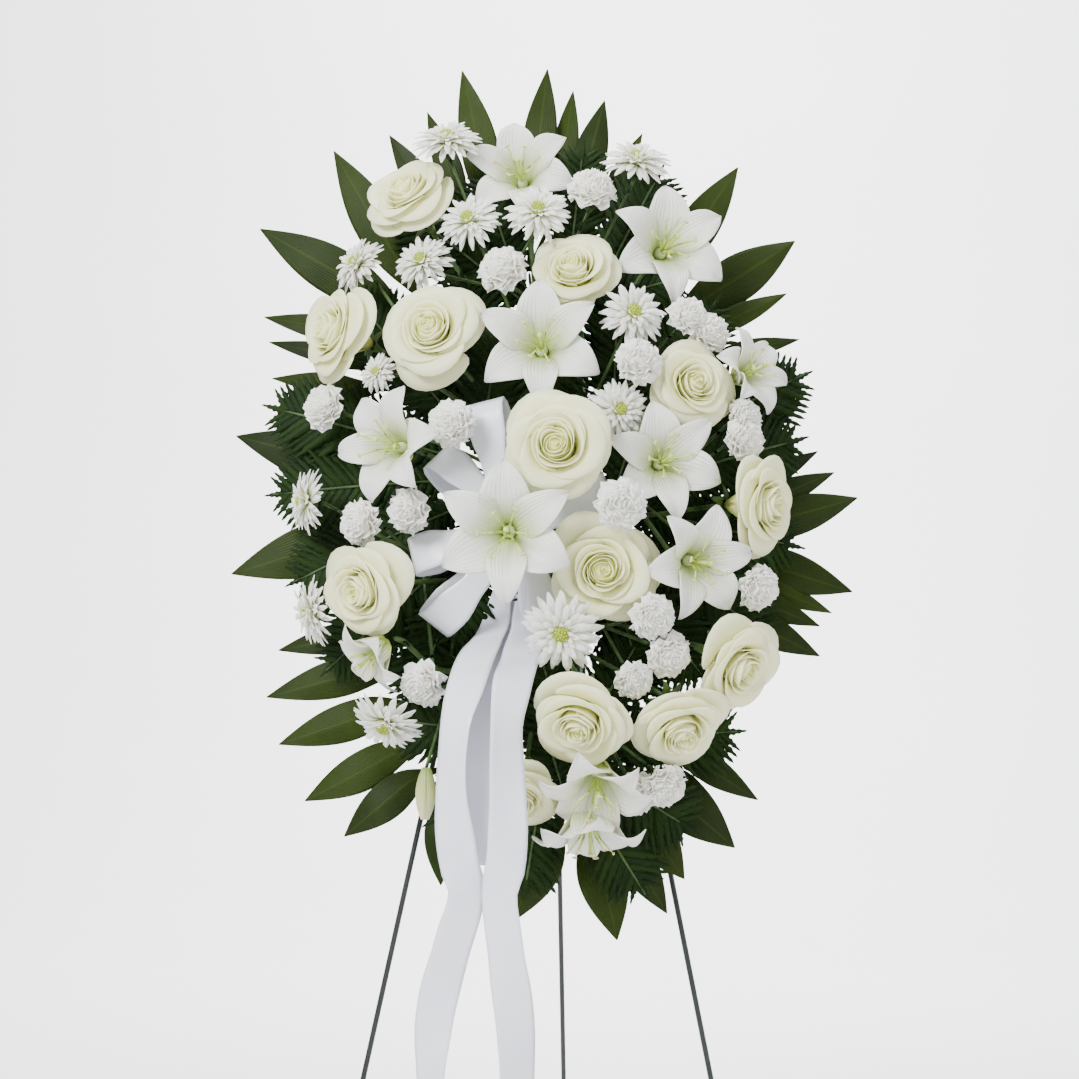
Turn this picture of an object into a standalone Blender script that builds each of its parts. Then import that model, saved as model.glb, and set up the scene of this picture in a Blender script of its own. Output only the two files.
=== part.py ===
"""Standing funeral spray: white flowers and palm leaves in foam, hung on a three-legged wire easel.

Metres, +Z up, front towards -Y. The origin is on the floor, under the middle of the whole object.
Blooms are placed from the photo by width and height. A rule then moves each one out until it and its
stem are clear of the others, as a florist slides stems in and out of the foam.
"""

import math

import bmesh
import bpy
import numpy as np
from mathutils import Matrix, Quaternion, Vector

for old in list(bpy.data.objects):
    bpy.data.objects.remove(old, do_unlink=True)

# Easel
SHIFT = Vector((-0.0015, 0.0088, 0.0))
ROD_R = 0.003175
APEX_Z = 1.48
FOOT_Y = -0.33
APEX_Y = -0.06
HALF_FOOT = 0.305
SLOPE = (APEX_Y - FOOT_Y) / APEX_Z
LEG_TOP_Z = 1.455
PIVOT_Y = -0.043
PIVOT_Z = 1.459
REAR_FOOT_Y = 0.39
GAP = 0.0003

# Foam and its tray, in the leaning plane of the front legs
MIDDLE_Z = 1.13
FOAM_W = 0.10
FOAM_H = 0.46
FOAM_D = 0.072
TRAY_WALL = 0.0025
TRAY_LIP = 0.012
TRAY_BACK = 2 * ROD_R + ROD_R + 2 * GAP
FOAM_BACK = TRAY_BACK + TRAY_WALL + GAP
FOAM_FRONT = FOAM_BACK + FOAM_D
CORE_LIFT = {"rose": 0.032, "carnation": 0.036, "lily": 0.040, "mum": 0.044}
PEG_CLEAR = 0.026

# The dome that the blooms follow
DOME_Z = 1.16
DOME_HALF_W = 0.30
DOME_HALF_H = 0.44
DOME_EDGE = 0.110
DOME_RISE = 0.105

RIBBON_W = 0.044
RIBBON_T = 0.0009

# Blooms as read from the photo: centimetres across, centimetres up, width in centimetres, then how
# far it faces right and up in degrees, where that differs from the dome's own direction.
ROSES = [
    (-15, 152.5, 9.8, -30, 38),
    (-23, 136.5, 10.0, -52, 14),
    (-12, 136, 10.6, -12, 18),
    (5, 143, 9.4, -8, 30),
    (17.5, 131, 9.2, 24, 12),
    (2.5, 124, 11.4, 0, 8),
    (24.5, 117, 10.0, 58, 0),
    (9, 108.5, 11.2, 8, 0),
    (-18.5, 106.5, 10.2, -34, -8),
    (22.5, 98.5, 9.6, 42, -20),
    (6, 93.5, 10.2, -8, -34),
    (16, 92, 9.6, 24, -38),
    (0.5, 84.5, 8.0, -4, -40),
]
LILIES = [
    [(-2.5, 157, 14.0, -4, 24, 8)],
    [(15.5, 147, 15.4, 22, 14, 20)],
    [(1.5, 134, 15.6, 0, 12, 4)],
    [(-16, 123.5, 14.0, -30, 6, 12)],
    [(-2.5, 113.5, 16.6, 0, 0, 0)],
    [(15, 121, 14.4, 16, 6, 24), (17.5, 110, 14.0, 30, -4, 10), (24, 131, 11, 48, 18, 0)],
    [(6, 85.5, 13.6, 0, -48, 14), (6.5, 79, 14.2, 6, -72, 0)],
    [(-18, 99.5, 10.4, -52, -38, 10)],
]
BUD = (-12, 84, 2.2, -10, -84)
CARNATIONS = [
    [(6, 154, 5.8), (-4, 144, 5.8)],
    [(12.5, 132.5, 5.6), (17, 138.5, 5.0), (20, 136, 5.2)],
    [(-25, 128, 5.6), (-9, 125.5, 5.6)],
    [(-14.3, 115.3, 5.4), (-19.8, 114.8, 5.4), (-12.5, 96.5, 5.4)],
    [(10.5, 117, 6.0), (24, 124, 5.2), (24.5, 127.8, 4.4), (25.5, 107, 5.4)],
    [(14, 104.5, 5.4), (15.5, 99.5, 5.4), (11.5, 96, 4.6)],
    [(11, 84, 5.8), (15, 85.5, 5.4)],
]
MUMS = [
    [(-8.5, 150, 8.2), (-11, 159, 8.8, -10, 62), (-13.5, 145, 7.8), (0.5, 149.5, 8.6)],
    [(11, 157, 8.8, 14, 58)],
    [(10, 139, 8.4), (10, 127.5, 7.8)],
    [(-21.5, 145, 7.8, -48, 30), (-18, 132, 5.2)],
    [(-26.5, 117, 8.2, -66, 4), (-25, 104.5, 8.4, -66, -10)],
    [(4.5, 101, 9.6, 0, -10)],
    [(-16.5, 92, 9.0, -32, -48), (-6, 94.5, 6.4)],
]
# Where a stem branches, for the ones that have to go round the bow
FORKS = {"carnation_stem_4": (-13.6, 110.0, 9.0), "lily_stem_8": (-9.5, 97, 8.8)}

# Palm leaves: the stem's points, then each leaf's root, tip and width, all in centimetres across and
# up. A height above the leaning plane stands third in a stem point, and last for a leaf's tip.
PALMS = [
    ("palm_top", [(-0.6, 133.5, 2.8), (-1.5, 141, 2.5), (-2, 145, 2.4)],
     [(-6, 151, -10.5, 170, 4.6, 3.0), (-9, 150, -14.8, 165, 3.4, 1.9), (-11, 149, -19.3, 162, 3.8, 2.8),
      (-1.5, 152, 0, 170, 4.2, 3.4), (1.5, 152, 3.1, 167.5, 3.2, 2.0), (3.5, 151, 7, 166, 4.2, 3.2),
      (6, 150, 11.6, 162, 2.8, 2.2)]),
    ("palm_upper_right", [(2.6, 128, 2.7), (8, 134, 2.6), (11, 137, 2.6)],
     [(14, 143, 23.2, 157.5, 4.8, 3.4), (16, 139.5, 30, 148.5, 5.6, 2.2), (17, 136.5, 29, 142, 2.8, 3.2),
      (18, 134, 30.5, 136.5, 2.4, 2.4)]),
    ("palm_upper_left", [(-2.6, 127, 2.7), (-8, 133, 2.6), (-11, 136, 2.6)],
     [(-15, 142, -26, 160, 5.4, 3.4), (-17, 140, -35, 150.5, 5.8, 2.2), (-18, 136.5, -34, 139.5, 3.2, 3.2),
      (-18, 133.5, -33.5, 136.5, 2.6, 2.2), (-18, 130.5, -32.8, 132, 2.8, 3.2)]),
    ("palm_left", [(-2.8, 117, 2.7), (-9, 117, 2.8), (-13, 117, 3.0)],
     [(-18, 120, -36.8, 125, 5.8, 3.8), (-17, 114, -36.9, 108.5, 6.4, 3.4)]),
    ("palm_lower_left", [(-2.7, 106, 2.7), (-8, 102, 2.8), (-10, 94, 3.0), (-10.5, 86, 3.2)],
     [(-15, 102.5, -31, 99.5, 3.8, 3.6), (-15, 98.5, -32.3, 94, 4.6, 3.2), (-15, 93.5, -30.7, 88.5, 4.6, 3.0),
      (-14, 89, -27.4, 82, 4.6, 3.2), (-12.8, 86, -22.6, 78, 4.4, 3.6), (-11.4, 82.5, -11.2, 72.5, 3.8, 3.4)]),
    ("palm_right", [(2.8, 113, 2.7), (10, 113, 2.8), (17, 112.5, 3.1)],
     [(21, 117, 32.6, 123, 2.8, 4.4), (22, 115.4, 34.5, 120.5, 3.2, 3.8), (22, 113.4, 37.2, 117.5, 4.8, 3.4),
      (22, 111.3, 36.5, 106.5, 4.8, 3.8), (21.5, 109.2, 34.1, 104, 3.0, 3.2), (21, 107.3, 32.7, 102.5, 3.2, 4.0),
      (19, 106, 32.7, 99, 4.2, 3.6)]),
    ("palm_bottom", [(1.6, 96, 2.7), (3.6, 87.6, 2.8), (4.6, 84.5, 3.0)],
     [(14, 90, 25.5, 82.5, 3.6, 3.8), (12, 86.5, 22.8, 77, 5.8, 3.0), (10, 83, 17, 73.5, 5.2, 3.8),
      (8.5, 80.5, 15, 69.5, 4.4, 3.0), (6, 80, 9.3, 66.5, 5.8, 3.4), (2.5, 80, -2.8, 68.5, 5.6, 3.8),
      (-1, 80.5, -5.6, 65.5, 2.4, 3.0)]),
]

# Fern bunches: the foot in the foam and the end of the gathered stalks, across, up and above the
# plane, then for each frond where its leafy part starts, where its tip is, and its half width
FERNS = [
    ("fern_right", (2.6, 119, 3.9), (6.4, 119.4, 4.3),
     [(9, 124, 5.2, 20, 140, 7.0, 6.5), (11, 121.5, 5.6, 30, 131.5, 7.6, 7), (12, 119, 5.8, 29.5, 124, 7.6, 6.5),
      (11, 116, 5.6, 29, 112, 7.6, 6.5), (9.5, 112.5, 5.2, 26, 102, 7.4, 6.5),
      (8.5, 126.5, 5.8, 9, 142.5, 7.2, 6), (9.5, 109, 6.2, 19, 97, 7.6, 6),
      (7.0, 116.5, 9.4, 0, 104, 10.4, 6.5)]),
    ("fern_left", (-2.6, 120, 3.9), (-6.4, 120.4, 4.3),
     [(-9, 125, 5.2, -22, 141, 7.0, 6.5), (-11, 122.5, 5.6, -31, 128, 7.6, 7),
      (-12, 119.5, 5.8, -30.5, 118, 7.6, 6.5), (-10.5, 116, 5.4, -28, 108, 7.4, 6.5),
      (-8.5, 112, 5.0, -24, 98, 7.0, 6.5), (-8.0, 127.5, 4.0, -9.5, 143, 7.2, 6.5),
      (-7.0, 122.5, 9.2, -4.5, 137, 10.0, 6),
      (-7.0, 115, 8.0, -9.5, 101, 9.2, 5.5)]),
    ("fern_top", (1.5, 133.2, 3.1), (2.0, 138.6, 3.5),
     [(-3, 142, 3.9, -16, 152.5, 4.9, 6.5), (-3.2, 144.5, 4.0, -6.5, 156, 5.4, 5.5),
      (3, 143.5, 4.0, 4.5, 157.5, 4.8, 5.5), (6, 142, 4.1, 15, 150.5, 5.4, 6),
      (1.0, 138.8, 9.8, 0.8, 127.5, 10.8, 5.5)]),
    ("fern_bottom", (0.6, 96, 4.0), (2.2, 88.4, 5.2),
     [(7, 89, 5.8, 22, 90.5, 7.6, 6.5), (6.5, 86, 5.8, 17, 80, 7.2, 6), (4.5, 84, 5.8, 10.5, 74.5, 7.0, 5.5),
      (1.5, 84, 5.8, 0.5, 74.5, 7.0, 5), (-2, 86.5, 5.6, -11.5, 80.5, 7.0, 5.5),
      (6.5, 91.5, 6.2, 11.5, 100.5, 7.4, 5.5), (4.0, 91.5, 9.4, 1.5, 102, 10.4, 5.5)]),
]

parts = bpy.data.collections.new("Standing_Funeral_Spray")
cutters = bpy.data.collections.new("Cutters")
cutters.hide_render = True
for group in (parts, cutters):
    bpy.context.scene.collection.children.link(group)


def finish(name, colour, roughness, metallic=0.0):
    made = bpy.data.materials.new(name)
    made.use_nodes = True
    made.diffuse_color = (*colour, 1)
    shader = made.node_tree.nodes["Principled BSDF"]
    shader.inputs["Base Color"].default_value = (*colour, 1)
    shader.inputs["Roughness"].default_value = roughness
    shader.inputs["Metallic"].default_value = metallic
    return made


STEEL = finish("Dark_Green_Steel", (0.018, 0.026, 0.020), 0.45, 0.6)
TRAY = finish("Green_Plastic", (0.03, 0.10, 0.04), 0.5)
FOAM = finish("Wet_Foam", (0.05, 0.17, 0.06), 0.95)
STEM = finish("Green_Stem", (0.10, 0.22, 0.05), 0.6)
ROSE = finish("Cream_Rose", (0.86, 0.84, 0.66), 0.6)
LILY = finish("White_Lily", (0.88, 0.88, 0.84), 0.5)
CARNATION = finish("White_Carnation", (0.88, 0.88, 0.86), 0.7)
MUM = finish("White_Chrysanthemum", (0.88, 0.89, 0.83), 0.7)
PALM = finish("Palm_Leaf", (0.05, 0.13, 0.035), 0.45)
FERN = finish("Fern_Leaf", (0.035, 0.10, 0.03), 0.6)
SATIN = finish("White_Satin", (0.86, 0.88, 0.93), 0.35)
WOOD = finish("Pale_Wood", (0.55, 0.42, 0.25), 0.8)


def on_spray(x, lift, z):
    """A place by width, height, and distance in front of the leaning plane of the front legs."""
    return Vector((x, FOOT_Y + SLOPE * z - lift, z)) + SHIFT


def cm(x, z, lift):
    return on_spray(x / 100, lift / 100, z / 100)


def outside(p):
    """How far a place is outside the foam, less than nothing inside it."""
    local = PLANE.inverted() @ p
    return max(abs(local.x) - FOAM_W / 2, abs(local.z) - FOAM_H / 2, -local.y - FOAM_FRONT)


LEAN = math.atan(SLOPE)
PLANE = Matrix.Translation(on_spray(0, 0, MIDDLE_Z)) @ Matrix.Rotation(-LEAN, 4, "X")


def add(name, bm, *materials, group=parts, smooth=False):
    bmesh.ops.recalc_face_normals(bm, faces=bm.faces)
    mesh = bpy.data.meshes.new(name)
    for face in bm.faces:
        face.smooth = smooth and len(face.verts) == 4
    bm.to_mesh(mesh)
    bm.free()
    made = bpy.data.objects.new(name, mesh)
    for material in materials:
        mesh.materials.append(material)
    group.objects.link(made)
    if group is cutters:
        made.display_type = "WIRE"
        made.hide_render = True
    return made


def split_wall(bm, low, high, rising):
    """A four-cornered wall as two triangles, cut from its low left corner or from its low right one."""
    if rising:
        cuts = [low[0], low[1], high[1]], [low[0], high[1], high[0]]
    else:
        cuts = [low[0], low[1], high[0]], [low[1], high[1], high[0]]
    return [bm.faces.new(corners) for corners in cuts]


def loft(bm, rings, paint=0, rising=()):
    """Walls between rings of points, with both ends closed. A ring of one point makes a tip. For a thin
    blade, rising says for each wall which way it is cut, so that both sides of the blade are cut alike."""
    rows = [[bm.verts.new(p) for p in ring] for ring in rings]
    bands = []
    for low, high in zip(rows, rows[1:]):
        band = []
        for i in range(len(low)):
            j = (i + 1) % len(low)
            if len(high) == 1:
                made = [bm.faces.new([low[i], low[j], high[0]])]
            elif rising:
                made = split_wall(bm, (low[i], low[j]), (high[i], high[j]), rising[i])
            else:
                made = [bm.faces.new([low[i], low[j], high[j], high[i]])]
            for face in made:
                face.material_index = paint
            band += made
        bands.append(band)
    start = bm.faces.new(rows[0][::-1])
    start.material_index = paint
    end = bm.faces.new(rows[-1]) if len(rows[-1]) > 2 else None
    return bands, end


def newell(points):
    total = Vector()
    for a, b in zip(points, points[1:] + points[:1]):
        total += a.cross(b)
    return total


def grow(bm, face, sections, lapped=False):
    """A blade drawn out of one face through sections with as many corners, closed flat or at a tip.
    A four-cornered section is edge, outer middle, edge, inner middle. The foot's walls are cut the
    shorter way, or from its edge corners where each blade laps over the next."""
    ring = list(face.verts)
    bm.faces.remove(face)
    n = len(ring)
    middle = None
    for points in sections:
        if len(points) == 1:
            tip = bm.verts.new(points[0])
            for i in range(n):
                bm.faces.new([ring[i], ring[(i + 1) % n], tip])
            return
        places = list(enumerate(points))
        if newell([v.co for v in ring]).dot(newell(points)) < 0:
            places = places[::-1]
        turn = min(range(n), key=lambda k: sum((v.co - places[(i + k) % n][1]).length for i, v in enumerate(ring)))
        places = places[turn:] + places[:turn]
        new = [bm.verts.new(p) for _, p in places]
        rise = sum((ring[i].co - new[(i + 1) % n].co).length for i in range(n))
        fall = sum((ring[(i + 1) % n].co - new[i].co).length for i in range(n))
        rising = middle is not None or rise < fall
        middle = [k for k, _ in places]
        for i in range(n):
            j = (i + 1) % n
            if n == 4:
                split_wall(bm, (ring[i], ring[j]), (new[i], new[j]), middle[i] % 2 == 0 if lapped else rising)
            else:
                bm.faces.new([ring[i], ring[j], new[j], new[i]])
        ring = new
    if n == 4:
        first = middle.index(1)
        bm.faces.new([ring[first], ring[(first + 1) % 4], ring[(first + 2) % 4]])
        bm.faces.new([ring[(first + 2) % 4], ring[(first + 3) % 4], ring[first]])
    else:
        bm.faces.new(ring)


def box(bm, low, high, matrix=Matrix()):
    made = bmesh.ops.create_cube(bm, size=1)["verts"]
    for v in made:
        v.co = matrix @ Vector((low[k] + (v.co[k] + 0.5) * (high[k] - low[k]) for k in range(3)))
    return made


def ring_at(centre, direction, radius, sides=6, turn=0.0):
    """A ring of points square to the direction, with one side's way fixed by the spray's own up."""
    turned = Vector((0, 0, 1)).rotation_difference(direction.normalized())
    points = []
    for i in range(sides):
        a = turn + 2 * math.pi * i / sides
        points.append(centre + turned @ (Vector((math.cos(a), math.sin(a), 0)) * radius))
    return points


def join(name, first, others):
    """One body from overlapping closed pieces, by one Boolean union."""
    if not others:
        return first
    group = bpy.data.collections.new(name + "_pieces")
    bpy.context.scene.collection.children.link(group)
    for piece in others:
        parts.objects.unlink(piece)
        group.objects.link(piece)
    union = first.modifiers.new("Join", "BOOLEAN")
    union.operation = "UNION"
    union.operand_type = "COLLECTION"
    union.collection = group
    union.solver = "MANIFOLD"
    graph = bpy.context.evaluated_depsgraph_get()
    whole = bpy.data.meshes.new_from_object(first.evaluated_get(graph))
    first.modifiers.clear()
    first.data = whole
    for piece in list(group.objects):
        bpy.data.objects.remove(piece, do_unlink=True)
    bpy.data.collections.remove(group)
    return first


# Blooms as balls, to keep them and their stems clear of each other. Sizes are shares of the width.
BALLS = {
    "rose": [(0, 0, 0.02, 0.49), (0, 0, -0.30, 0.25)],
    "carnation": [(0, 0, 0, 0.50), (0, 0, -0.44, 0.18)],
    "mum": [(0, 0, 0, 0.26)] + [(0.38 * math.cos(math.pi / 6 * i), 0.38 * math.sin(math.pi / 6 * i), 0, 0.125)
                                for i in range(12)],
    "lily": [(0, 0, -0.22, 0.15), (0, 0, -0.38, 0.08), (0, 0, 0.04, 0.14)]
    + [(r * math.cos(math.pi / 6 * i), r * math.sin(math.pi / 6 * i), z, b)
       for r, z, b in ((0.24, 0.0, 0.12), (0.42, 0.01, 0.09)) for i in (1, 3, 5, 7, 9, 11)],
    "bud": [(0, 0, z, 0.5) for z in (-1.0, -0.5, 0, 0.5, 1.0)],
}
BASE = {"rose": 0.44, "carnation": 0.58, "mum": 0.26, "lily": 0.46, "bud": 1.3}
STEM_R = {"rose": 0.003, "carnation": 0.002, "mum": 0.002, "lily": 0.0032, "bud": 0.0018}
MAIN_R = {"rose": 0.003, "carnation": 0.0026, "mum": 0.0026, "lily": 0.004}


def facing(yaw, pitch):
    y, p = math.radians(yaw), math.radians(pitch)
    return Vector((math.sin(y) * math.cos(p), -math.cos(y) * math.cos(p), math.sin(p)))


class Head:
    def __init__(self, kind, x, z, width, yaw=None, pitch=None, roll=0):
        self.kind = kind
        self.size = width / 100
        x, z = x / 100, z / 100
        if yaw is None:
            yaw = 48 * x / 0.28
            pitch = 44 * (z - DOME_Z) / 0.42
        self.way = facing(yaw, pitch)
        out = 1 - (x / DOME_HALF_W) ** 2 - ((z - DOME_Z) / DOME_HALF_H) ** 2
        self.centre = on_spray(x, DOME_EDGE + DOME_RISE * max(out, 0), z)
        self.start = self.centre.copy()
        self.free = 1.0
        self.neck_length = 0.0
        turned = Vector((0, 0, 1)).rotation_difference(self.way)
        self.turn = turned @ Quaternion((0, 0, 1), math.radians(roll))
        self.balls = np.array([[*(self.turn @ Vector(b[:3])), b[3]] for b in BALLS[kind]]) * self.size

    def base(self):
        return self.centre - self.way * BASE[self.kind] * self.size

    def neck(self):
        return self.base() - self.way * self.neck_length

    def frame(self):
        return Matrix.Translation(self.centre) @ self.turn.to_matrix().to_4x4()


class Stem:
    """One flower stem, with one bloom or several that branch from it."""

    def __init__(self, name, kind, heads):
        self.name = name
        self.kind = kind
        self.heads = heads
        base = sum((h.base() for h in heads), Vector()) / len(heads)
        height = MIDDLE_Z + 0.50 * (base.z - DOME_Z)
        height = min(max(height, MIDDLE_Z - FOAM_H / 2 + 0.02), MIDDLE_Z + FOAM_H / 2 - 0.02)
        height += 0.008 if kind == "mum" else 0
        self.core = on_spray(0, CORE_LIFT[kind], height)
        self.end = self.core + (base - self.core).normalized() * PEG_CLEAR
        self.share = 0.62 if len(heads) == 1 else 0.55
        while outside(self.end.lerp(base, self.share)) < 0.014 and self.share < 0.9:
            self.share += 0.02
        self.fork = cm(*FORKS[name]) if name in FORKS else self.end.lerp(base, self.share)


flowers = []
for i, row in enumerate(ROSES):
    flowers.append(Stem(f"rose_{i + 1}", "rose", [Head("rose", *row)]))
for i, rows in enumerate(LILIES):
    flowers.append(Stem(f"lily_stem_{i + 1}", "lily", [Head("lily", *row) for row in rows]))
flowers[-1].heads.append(Head("bud", *BUD))
for i, rows in enumerate(CARNATIONS):
    flowers.append(Stem(f"carnation_stem_{i + 1}", "carnation", [Head("carnation", *row) for row in rows]))
for i, rows in enumerate(MUMS):
    flowers.append(Stem(f"chrysanthemum_stem_{i + 1}", "mum", [Head("mum", *row) for row in rows]))

# The lily in the middle of the bow stays where it is: its stem goes through the bow's knot
bow_lily = flowers[len(ROSES) + 4]
bow_head = bow_lily.heads[0]
bow_head.free = 0.0
bow_head.centre = cm(-2.5, 113.5, 24.5)
bow_head.neck_length = 0.05
KNOT = bow_head.base() - bow_head.way * 0.028
bow_lily.fork = bow_head.neck() - bow_head.way * 0.01
bow_lily.core = on_spray(0, CORE_LIFT["lily"], 1.115)
bow_lily.end = bow_lily.core + (bow_lily.fork - bow_lily.core).normalized() * PEG_CLEAR

# Bow loops: where each reaches, centimetres across, up and above the plane, and how far its middle
# stands in front of the knot's
LOOPS = [
    (-5.5, 128.5, 19, 0.3),
    (-11.5, 122, 19.5, 0.3),
    (8.5, 118.5, 19.5, 0.3),
    (-14.2, 110.4, 19, 0.3),
    (-11.9, 103.0, 19.5, 1.2),
    (0.9, 103.0, 20, 1.6),
]
# Tails: points across, up and in front of the origin in centimetres, and the strip's slant in degrees
TAILS = [
    ("ribbon_tail_left", -0.007,
     [(-3.8, 108, 24.0, 0), (-4.7, 103, 24.8, 0), (-6.1, 99.8, 31.0, -4), (-6.9, 96.6, 36.8, -20),
      (-8.0, 92, 39.2, -34), (-8.3, 84.5, 39.4, -34), (-7.6, 77.5, 39.4, -8), (-6.6, 73.5, 39.4, 34),
      (-8.2, 68, 39.4, 22), (-10.2, 60, 39.4, -14), (-10.6, 52, 39.4, -36), (-9.6, 43, 39.4, -18)]),
    ("ribbon_tail_right", 0.007,
     [(-1.4, 108, 23.8, 0), (-1.2, 103, 24.6, 0), (-1.2, 99.8, 30.8, 6), (-1.8, 96.6, 37.0, 22),
      (-2.2, 92, 39.6, 36), (-2.0, 84.5, 39.8, 34), (-2.2, 77.5, 39.8, 4), (-3.0, 73.5, 39.8, -30),
      (-2.4, 68, 39.8, -16), (-1.3, 60, 39.8, 14), (-1.0, 52, 39.8, 34), (-1.8, 42.5, 39.8, 14)]),
    ("ribbon_tail_middle", 0.0,
     [(-2.8, 107, 23.0, 0), (-3.2, 101.5, 24.0, 0), (-4.0, 98.2, 29.4, 2), (-4.6, 95, 34.0, 6),
      (-5.2, 90.5, 36.4, 10), (-4.9, 83.5, 37.0, -6), (-5.2, 76.5, 37.0, 8)]),
]


def tail_path(offset, rows):
    """A tail's centre line, from behind the knot and down, with its width's way and its widths."""
    path = [KNOT + Vector((offset, 0.0145 if offset else 0.0168, -0.004))]
    path += [Vector((x / 100, -y / 100, z / 100)) + SHIFT for x, z, y, _ in rows]
    sides = [Vector((1, 0, 0))]
    sides += [Vector((math.cos(math.radians(a)), math.sin(math.radians(a)), 0)) for _, _, _, a in rows]
    return path, sides, [0.012, 0.018, 0.032] + [RIBBON_W] * (len(rows) - 2)


def loop_points(reach, steps=6):
    """A teardrop loop's centre line, from the knot out and back, beside the knot's own axis."""
    goal = cm(*reach[:3])
    away = goal - KNOT
    away -= away.project(bow_head.way)
    length = away.length
    away.normalize()
    points = []
    for i in range(steps + 1):
        t = i / steps
        swell = math.sin(math.pi * t)
        out = 0.009 + (length - 0.009) * swell ** 0.75
        rise = -math.cos(math.pi * t) * (0.005 + 0.022 * swell ** 0.6)
        points.append(KNOT + away * out + bow_head.way * (rise + reach[3] / 100))
    widths = [0.013 + (RIBBON_W - 0.013) * min(1, 1.5 * math.sin(math.pi * i / steps)) for i in range(steps + 1)]
    return points, away, widths


def between(path, steps):
    """Places along a path, with the share of the way."""
    for i, (a, b) in enumerate(zip(path, path[1:])):
        for k in range(steps):
            yield a.lerp(b, k / steps), i + k / steps


PICK_TOP = KNOT - bow_head.way * 0.0150 + Vector((-0.008, 0, 0.009))
PICK_FOOT = cm(-1.9, 116.5, 5.4)
fixed = [[*PICK_TOP.lerp(PICK_FOOT, i / 9), 0.0026] for i in range(8)]
for reach in LOOPS:
    points, away, widths = loop_points(reach)
    across = away.cross(bow_head.way).normalized()
    for p, share in between(points, 4):
        w = widths[int(share)]
        for side in (-0.36 * w, 0, 0.36 * w):
            fixed.append([*(p + across * side), 0.009])
for _, offset, rows in TAILS:
    path, sides, widths = tail_path(offset, rows)
    for p, share in between(path, 3):
        side, w = sides[int(share)], widths[int(share)]
        for k in (-0.4 * w, 0, 0.4 * w):
            fixed.append([*(p + side * k), 0.009])
for _, foot, stub, _ in FERNS:
    for t in (0.5, 0.7, 0.9, 1.0, 1.15):
        fixed.append([*cm(*foot).lerp(cm(*stub), t), 0.0045])
fixed = np.array(fixed)


HEADS = [bloom for stem in flowers for bloom in stem.heads]
MOBILE = np.array((0.45, 1.0, 0.45))
ROUNDS = 240
MARGIN = 0.0012


def ball_table():
    """A row for each ball: its stem and bloom, how far it follows the bloom and the fork, offset, radius."""
    rows = []
    for s, stem in enumerate(flowers):
        thin = STEM_R[stem.kind] + 0.0012
        for bloom in stem.heads:
            h = HEADS.index(bloom)
            back = bloom.neck() - bloom.centre
            rows += [(s, h, 1, 0, *ball) for ball in bloom.balls]
            rows += [(s, h, 1 - i / 9, i / 9, *(back * (1 - i / 9)), thin) for i in range(10)]
        rows += [(s, 0, 0, 0.9 - 0.12 * i, 0, 0, 0, thin + 0.0006) for i in range(6)]
    return np.array(rows)


def overlaps(a, a_radii, b, b_radii):
    """The pairs of balls that come nearer than the margin, each with the push that parts them."""
    square = (a ** 2).sum(axis=1)[:, None] + (b ** 2).sum(axis=1)[None, :] - 2 * a @ b.T
    i, j = np.nonzero(square < (a_radii[:, None] + b_radii[None, :] + MARGIN) ** 2)
    apart = a[i] - b[j]
    distance = np.linalg.norm(apart, axis=1) + 1e-9
    short = a_radii[i] + b_radii[j] + MARGIN - distance
    return i, j, apart / distance[:, None] * np.maximum(short, 0)[:, None]


def capped(moves, most):
    length = np.linalg.norm(moves, axis=1) + 1e-12
    return moves * np.minimum(1, most / length)[:, None]


def spread_out():
    """Pushes touching blooms and stems apart in small steps until all are clear."""
    table = ball_table()
    owner, head = table[:, 0].astype(int), table[:, 1].astype(int)
    on_head, on_fork, offset, radii = table[:, 2:3], table[:, 3:4], table[:, 4:7], table[:, 7]
    centres = np.array([bloom.centre for bloom in HEADS])
    forks = np.array([stem.fork for stem in flowers])
    ends = np.array([stem.end for stem in flowers])
    start = centres.copy()
    free = np.array([[bloom.free] for bloom in HEADS])
    fixed_stem = flowers.index(bow_lily)
    for _ in range(ROUNDS):
        balls = on_head * centres[head] + on_fork * forks[owner] + (1 - on_head - on_fork) * ends[owner] + offset
        push = np.zeros_like(balls)
        i, j, parting = overlaps(balls, radii, balls, radii)
        other = owner[i] != owner[j]
        np.add.at(push, i[other], parting[other] * 0.30)
        i, j, parting = overlaps(balls, radii, fixed[:, :3], fixed[:, 3])
        other = owner[i] != fixed_stem
        np.add.at(push, i[other], parting[other] * 0.4)
        moved, pulled = np.zeros_like(centres), np.zeros_like(forks)
        np.add.at(moved, head, push * on_head)
        np.add.at(pulled, owner, push * on_fork)
        centres += capped(moved * MOBILE * free, 0.004)
        centres += (start - centres) * 0.004 * free
        pulled = capped(pulled, 0.003)
        for bloom, centre in zip(HEADS, centres):
            bloom.centre = Vector(centre)
        for s, stem in enumerate(flowers):
            if s == fixed_stem:
                continue
            fork = stem.fork + Vector(pulled[s])
            base = sum((h.neck() for h in stem.heads), Vector()) / len(stem.heads)
            home = cm(*FORKS[stem.name]) if stem.name in FORKS else stem.end.lerp(base, stem.share)
            fork += (home - fork) * 0.01
            if outside(fork) < 0.012:
                fork += (base - stem.end).normalized() * 0.002
            stem.fork = fork
            forks[s] = fork


spread_out()


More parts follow.
